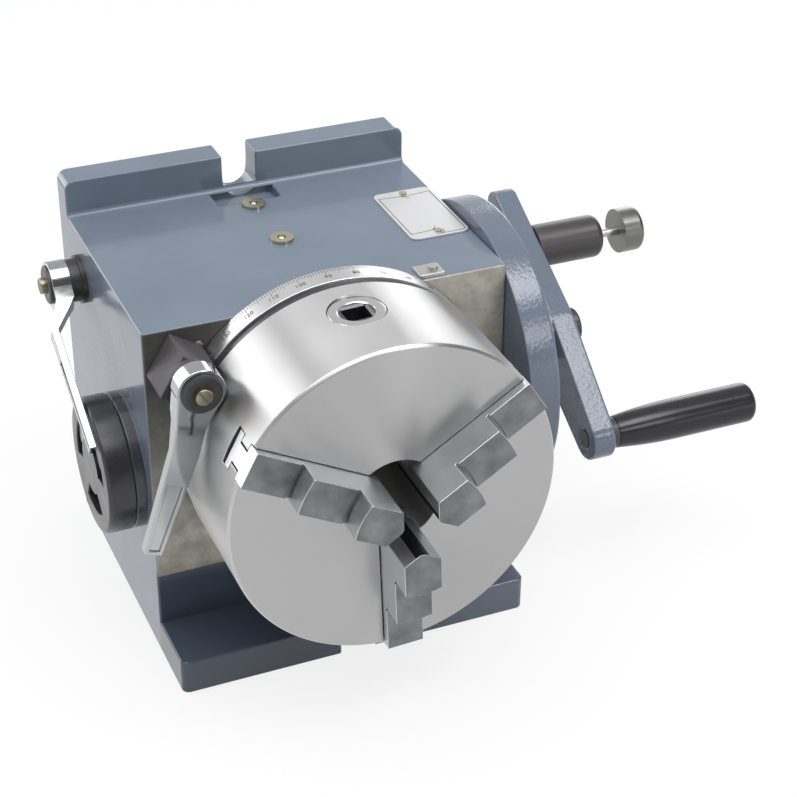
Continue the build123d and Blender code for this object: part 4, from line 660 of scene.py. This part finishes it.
# %% Lever screws and washers
front_low, front_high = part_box("clamp_washer")
front_seat = Vector(((front_low.x + front_high.x) / 2, front_high.y, (front_low.z + front_high.z) / 2))
side_low, side_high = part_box("side_washer")
side_seat = Vector((side_high.x, (side_low.y + side_high.y) / 2, (side_low.z + side_high.z) / 2))
washer_r = (front_high.x - front_low.x) / 2 / MM
cup_floor = 0.95
cup_profile = [(2.0, 0.0), (washer_r, 0.0), (washer_r, 0.7), (washer_r - 0.5, 1.1), (washer_r - 1.6, 1.25),
               (4.2, 1.1), (3.3, cup_floor), (2.0, cup_floor), (2.0, 0.0)]
slot_turn = 35.0
dull_brass = steel_material("dull_brass_finish", (0.33, 0.30, 0.21), 0.34, 500.0, 0.00003)
for lever_name, washer_name, seat, out in (("front_lever", "clamp_washer", front_seat, (0, -1, 0)),
                                           ("left_lever", "side_washer", side_seat, (-1, 0, 0))):
    cup = add_piece(f"{lever_name}_cup", stand_on(spun(cup_profile), seat, out), lever_name,
                    finishes["black_steel"])
    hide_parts(washer_name)
    head = slotted_head(radius=3.15, floor=1.9, top=2.6, slot_width=0.9)
    head_seat = seat + Vector(out) * cup_floor * MM
    add_piece(f"{lever_name}_screw", stand_on(head, head_seat, out, slot_turn), lever_name, dull_brass)
print("lever screws at mm:", [in_mm(seat) for seat in (front_seat, side_seat)])

# %% [markdown]
# ## Small dome screw
# Beside the clamp block a small round-headed screw closes an oil hole in the front face. Its head is a dome:
# a quarter of an ellipse spun about its axis.

# %% Dome screw
dome_at = Vector((-50.5, 0.0, 134.4)) * MM
dome_r, dome_high, dome_sunk = 2.0, 1.3, -0.1
dome_turns = [math.radians(degrees) for degrees in range(0, 91, 15)]
dome_profile = [(0.0, dome_sunk), (dome_r, dome_sunk)]
dome_profile += [(dome_r * math.cos(turn), dome_high * math.sin(turn)) for turn in dome_turns]
add_piece("front_dome_screw", stand_on(spun(dome_profile, 24), dome_at, (0, -1, 0)), "base", dark_steel)
print("dome screw at mm:", in_mm(dome_at))

# %% [markdown]
# ## Rings round the key sockets
# The chuck key goes into a square socket. Round it the pinion's head has a flat polished ring with a bevelled
# rim, which shows as a bright circle on the chuck. The ring is a spun profile that lies on the head.

# %% Socket rings
bright_steel = steel_material("polished_ring_steel", (0.68, 0.68, 0.68), 0.20, 600.0, 0.000006)
ring_profile = [(6.7, -0.2), (10.45, -0.2), (10.45, 0.1), (9.9, 0.55), (7.2, 0.55), (6.5, -0.1), (6.7, -0.2)]
head_reach = 61.4 * MM
pinion_joints = [joint for joint in frame["joints"] if joint["name"].startswith("pinion_")]
for joint in pinion_joints:
    out = Vector(joint["axis"])
    head_end = Vector((0.0, joint["pos_m"][1], axis_z)) + out * head_reach
    add_piece(f"{joint['child']}_ring", stand_on(spun(ring_profile, 48), head_end, out), joint["child"],
              bright_steel)
print("socket rings:", len(pinion_joints))

# %% [markdown]
# ## Border of the plate on top
# The small plate on top is bare aluminium with a printed border. The border is cut from the plate's own top
# face by two insets, so it follows the rounded corners, and stands only a hair above the plate.


# %% Plate border
def corners_in(items):
    return [item for item in items if isinstance(item, bmesh.types.BMVert)]


border_margin, border_width = 1.1 * MM, 0.35 * MM
border_sunk, border_thickness = 0.03 * MM, 0.06 * MM
border = flat_faced_copy("name_plate")
top_faces = [face for face in border.faces if face.normal.z > 0.9]
plate_face = max(top_faces, key=lambda face: face.calc_area())
bmesh.ops.inset_region(border, faces=[plate_face], thickness=border_margin, use_even_offset=True)
inset = bmesh.ops.inset_region(border, faces=[plate_face], thickness=border_width, use_even_offset=True)
others = [face for face in border.faces if face not in inset["faces"]]
bmesh.ops.delete(border, geom=others, context="FACES")
bmesh.ops.translate(border, verts=border.verts, vec=(0, 0, -border_sunk))
raised = bmesh.ops.extrude_face_region(border, geom=border.faces[:])["geom"]
bmesh.ops.translate(border, verts=corners_in(raised), vec=(0, 0, border_thickness))
bmesh.ops.recalc_face_normals(border, faces=border.faces)
plate_border = add_piece("plate_border", border, "base", ink)
print("plate border faces:", len(plate_border.data.polygons))

# %% [markdown]
# ## Floor, light and camera
# A catalogue photograph is taken in a white tent. The walls behind, above and to the left are bright, and
# the side of the camera is dark, so surfaces that face the camera look deeper than the top. The camera looks
# down on the left front corner through a long lens, so the straight edges stay nearly parallel. The floor
# rises into a low sweep all round, so that no horizon shows, and the camera and the steel see it nearly white.

# %% Floor shape
floor_r, sweep_r, sweep_height, sweep_bend = 4.0, 6.0, 1.1, 1.5
floor_shape = bmesh.new()
bmesh.ops.create_circle(floor_shape, cap_ends=True, radius=floor_r, segments=96)
floor_edge = floor_shape.edges[:]
sweep = bmesh.ops.extrude_edge_only(floor_shape, edges=floor_edge)["geom"]
for corner in corners_in(sweep):
    corner.co *= sweep_r / floor_r
    corner.co.z = sweep_height
bmesh.ops.bevel(floor_shape, geom=floor_edge, offset=sweep_bend, offset_type="OFFSET", affect="EDGES",
                segments=10, profile=0.5, material=-1)
bmesh.ops.recalc_face_normals(floor_shape, faces=floor_shape.faces)
for face in floor_shape.faces:
    face.smooth = True
floor_mesh = bpy.data.meshes.new("floor")
floor_shape.to_mesh(floor_mesh)
floor_shape.free()
floor = bpy.data.objects.new("floor", floor_mesh)
bpy.context.collection.objects.link(floor)
print("floor faces:", len(floor_mesh.polygons))

# %% Floor finish
white_share = 0.82
floor_finish = start_material("pale_floor", (0.72, 0.72, 0.72), 0.0, 0.7, specular=0.2)
rays = add(floor_finish, "ShaderNodeLightPath").outputs
seen = maths(floor_finish, "MAXIMUM", rays["Is Camera Ray"],
             maths(floor_finish, "MAXIMUM", rays["Is Glossy Ray"], rays["Is Transmission Ray"]))
white = add(floor_finish, "ShaderNodeEmission")
blend = add(floor_finish, "ShaderNodeMixShader")
link(floor_finish, both(floor_finish, seen, white_share), blend.inputs["Fac"])
link(floor_finish, shader_of(floor_finish).outputs["BSDF"], blend.inputs[1])
link(floor_finish, white.outputs["Emission"], blend.inputs[2])
link(floor_finish, blend.outputs["Shader"], floor_finish.node_tree.nodes["Material Output"].inputs["Surface"])
floor.data.materials.append(floor_finish)
print("floor made, white share:", white_share)

# %% Tent
bright_side = Vector((-0.55, 0.75, 0.40)).normalized()
dark_wall, bright_wall = 0.15, 0.70
fade_start, fade_end = -0.55, 0.45
world = bpy.data.worlds.new("studio_tent")
bpy.context.scene.world = world
world.use_nodes = True
wall = world.node_tree.nodes["Background"]
wall.inputs["Color"].default_value = (1.0, 1.0, 1.0, 1.0)
toward = add(world, "ShaderNodeVectorMath", operation="DOT_PRODUCT")
toward.inputs[1].default_value = bright_side
link(world, add(world, "ShaderNodeTexCoord").outputs["Generated"], toward.inputs[0])
fade = add(world, "ShaderNodeMapRange", interpolation_type="SMOOTHSTEP")
fade.inputs["From Min"].default_value = fade_start
fade.inputs["From Max"].default_value = fade_end
fade.inputs["To Min"].default_value = dark_wall
fade.inputs["To Max"].default_value = bright_wall
link(world, toward.outputs["Value"], fade.inputs["Value"])
link(world, fade.outputs["Result"], wall.inputs["Strength"])
print("tent walls from", dark_wall, "to", bright_wall)


# %% Lamps
def soft_lamp(name, place_at, aim, size, power):
    lamp = bpy.data.lights.new(name, "AREA")
    lamp.shape = "RECTANGLE"
    lamp.size, lamp.size_y = size
    lamp.energy = power
    lamp_object = bpy.data.objects.new(name, lamp)
    lamp_object.location = place_at
    lamp_object.rotation_euler = (Vector(aim) - Vector(place_at)).to_track_quat("-Z", "Y").to_euler()
    bpy.context.collection.objects.link(lamp_object)


middle = (0.0, 0.0, 0.08)
lamps = {
    "top_lamp": ((-0.15, -0.2, 1.5), (1.5, 1.3), 18.5),
    "left_lamp": ((-1.25, 0.7, 0.35), (0.9, 0.6), 1.5),
    "back_left_panel": ((-0.66, 0.92, 0.42), (0.50, 0.90), 4.0),
    "back_right_panel": ((0.72, 0.95, 0.32), (0.35, 0.70), 2.0),
    "high_front_lamp": ((0.48, -0.42, 1.14), (0.45, 0.40), 4.5),
    "low_front_lamp": ((0.52, -1.04, 0.74), (0.40, 0.35), 2.4),
    "right_panel": ((1.0, -1.2, 0.25), (0.6, 0.4), 0.8),
}
for name, (place_at, size, power) in lamps.items():
    soft_lamp(name, place_at, middle, size, power)
print("lamps:", len(lamps), "watts in all:", round(sum(power for place_at, size, power in lamps.values()), 1))

# %% Camera
view_azimuth = math.radians(-23.13)
view_elevation = math.radians(31.59)
view_roll = math.radians(0.47)
view_distance = 605.0 * MM
view_target = Vector((-23.9, -120.6, 174.4)) * MM
view_side = Vector((math.sin(view_azimuth) * math.cos(view_elevation),
                    -math.cos(view_azimuth) * math.cos(view_elevation),
                    math.sin(view_elevation)))
camera_data = bpy.data.cameras.new("photo_camera")
camera_data.sensor_width = 36.0
camera_data.lens = 89.66
camera_data.clip_start = 0.01
camera = bpy.data.objects.new("photo_camera", camera_data)
level = view_side.to_track_quat("Z", "Y").to_matrix().to_4x4()
camera.matrix_world = (Matrix.Translation(view_target + view_side * view_distance) @ level
                       @ Matrix.Rotation(view_roll, 4, "Z"))
bpy.context.collection.objects.link(camera)
bpy.context.scene.camera = camera
bpy.context.scene.view_settings.view_transform = "Standard"
print("camera at mm:", in_mm(camera.location))
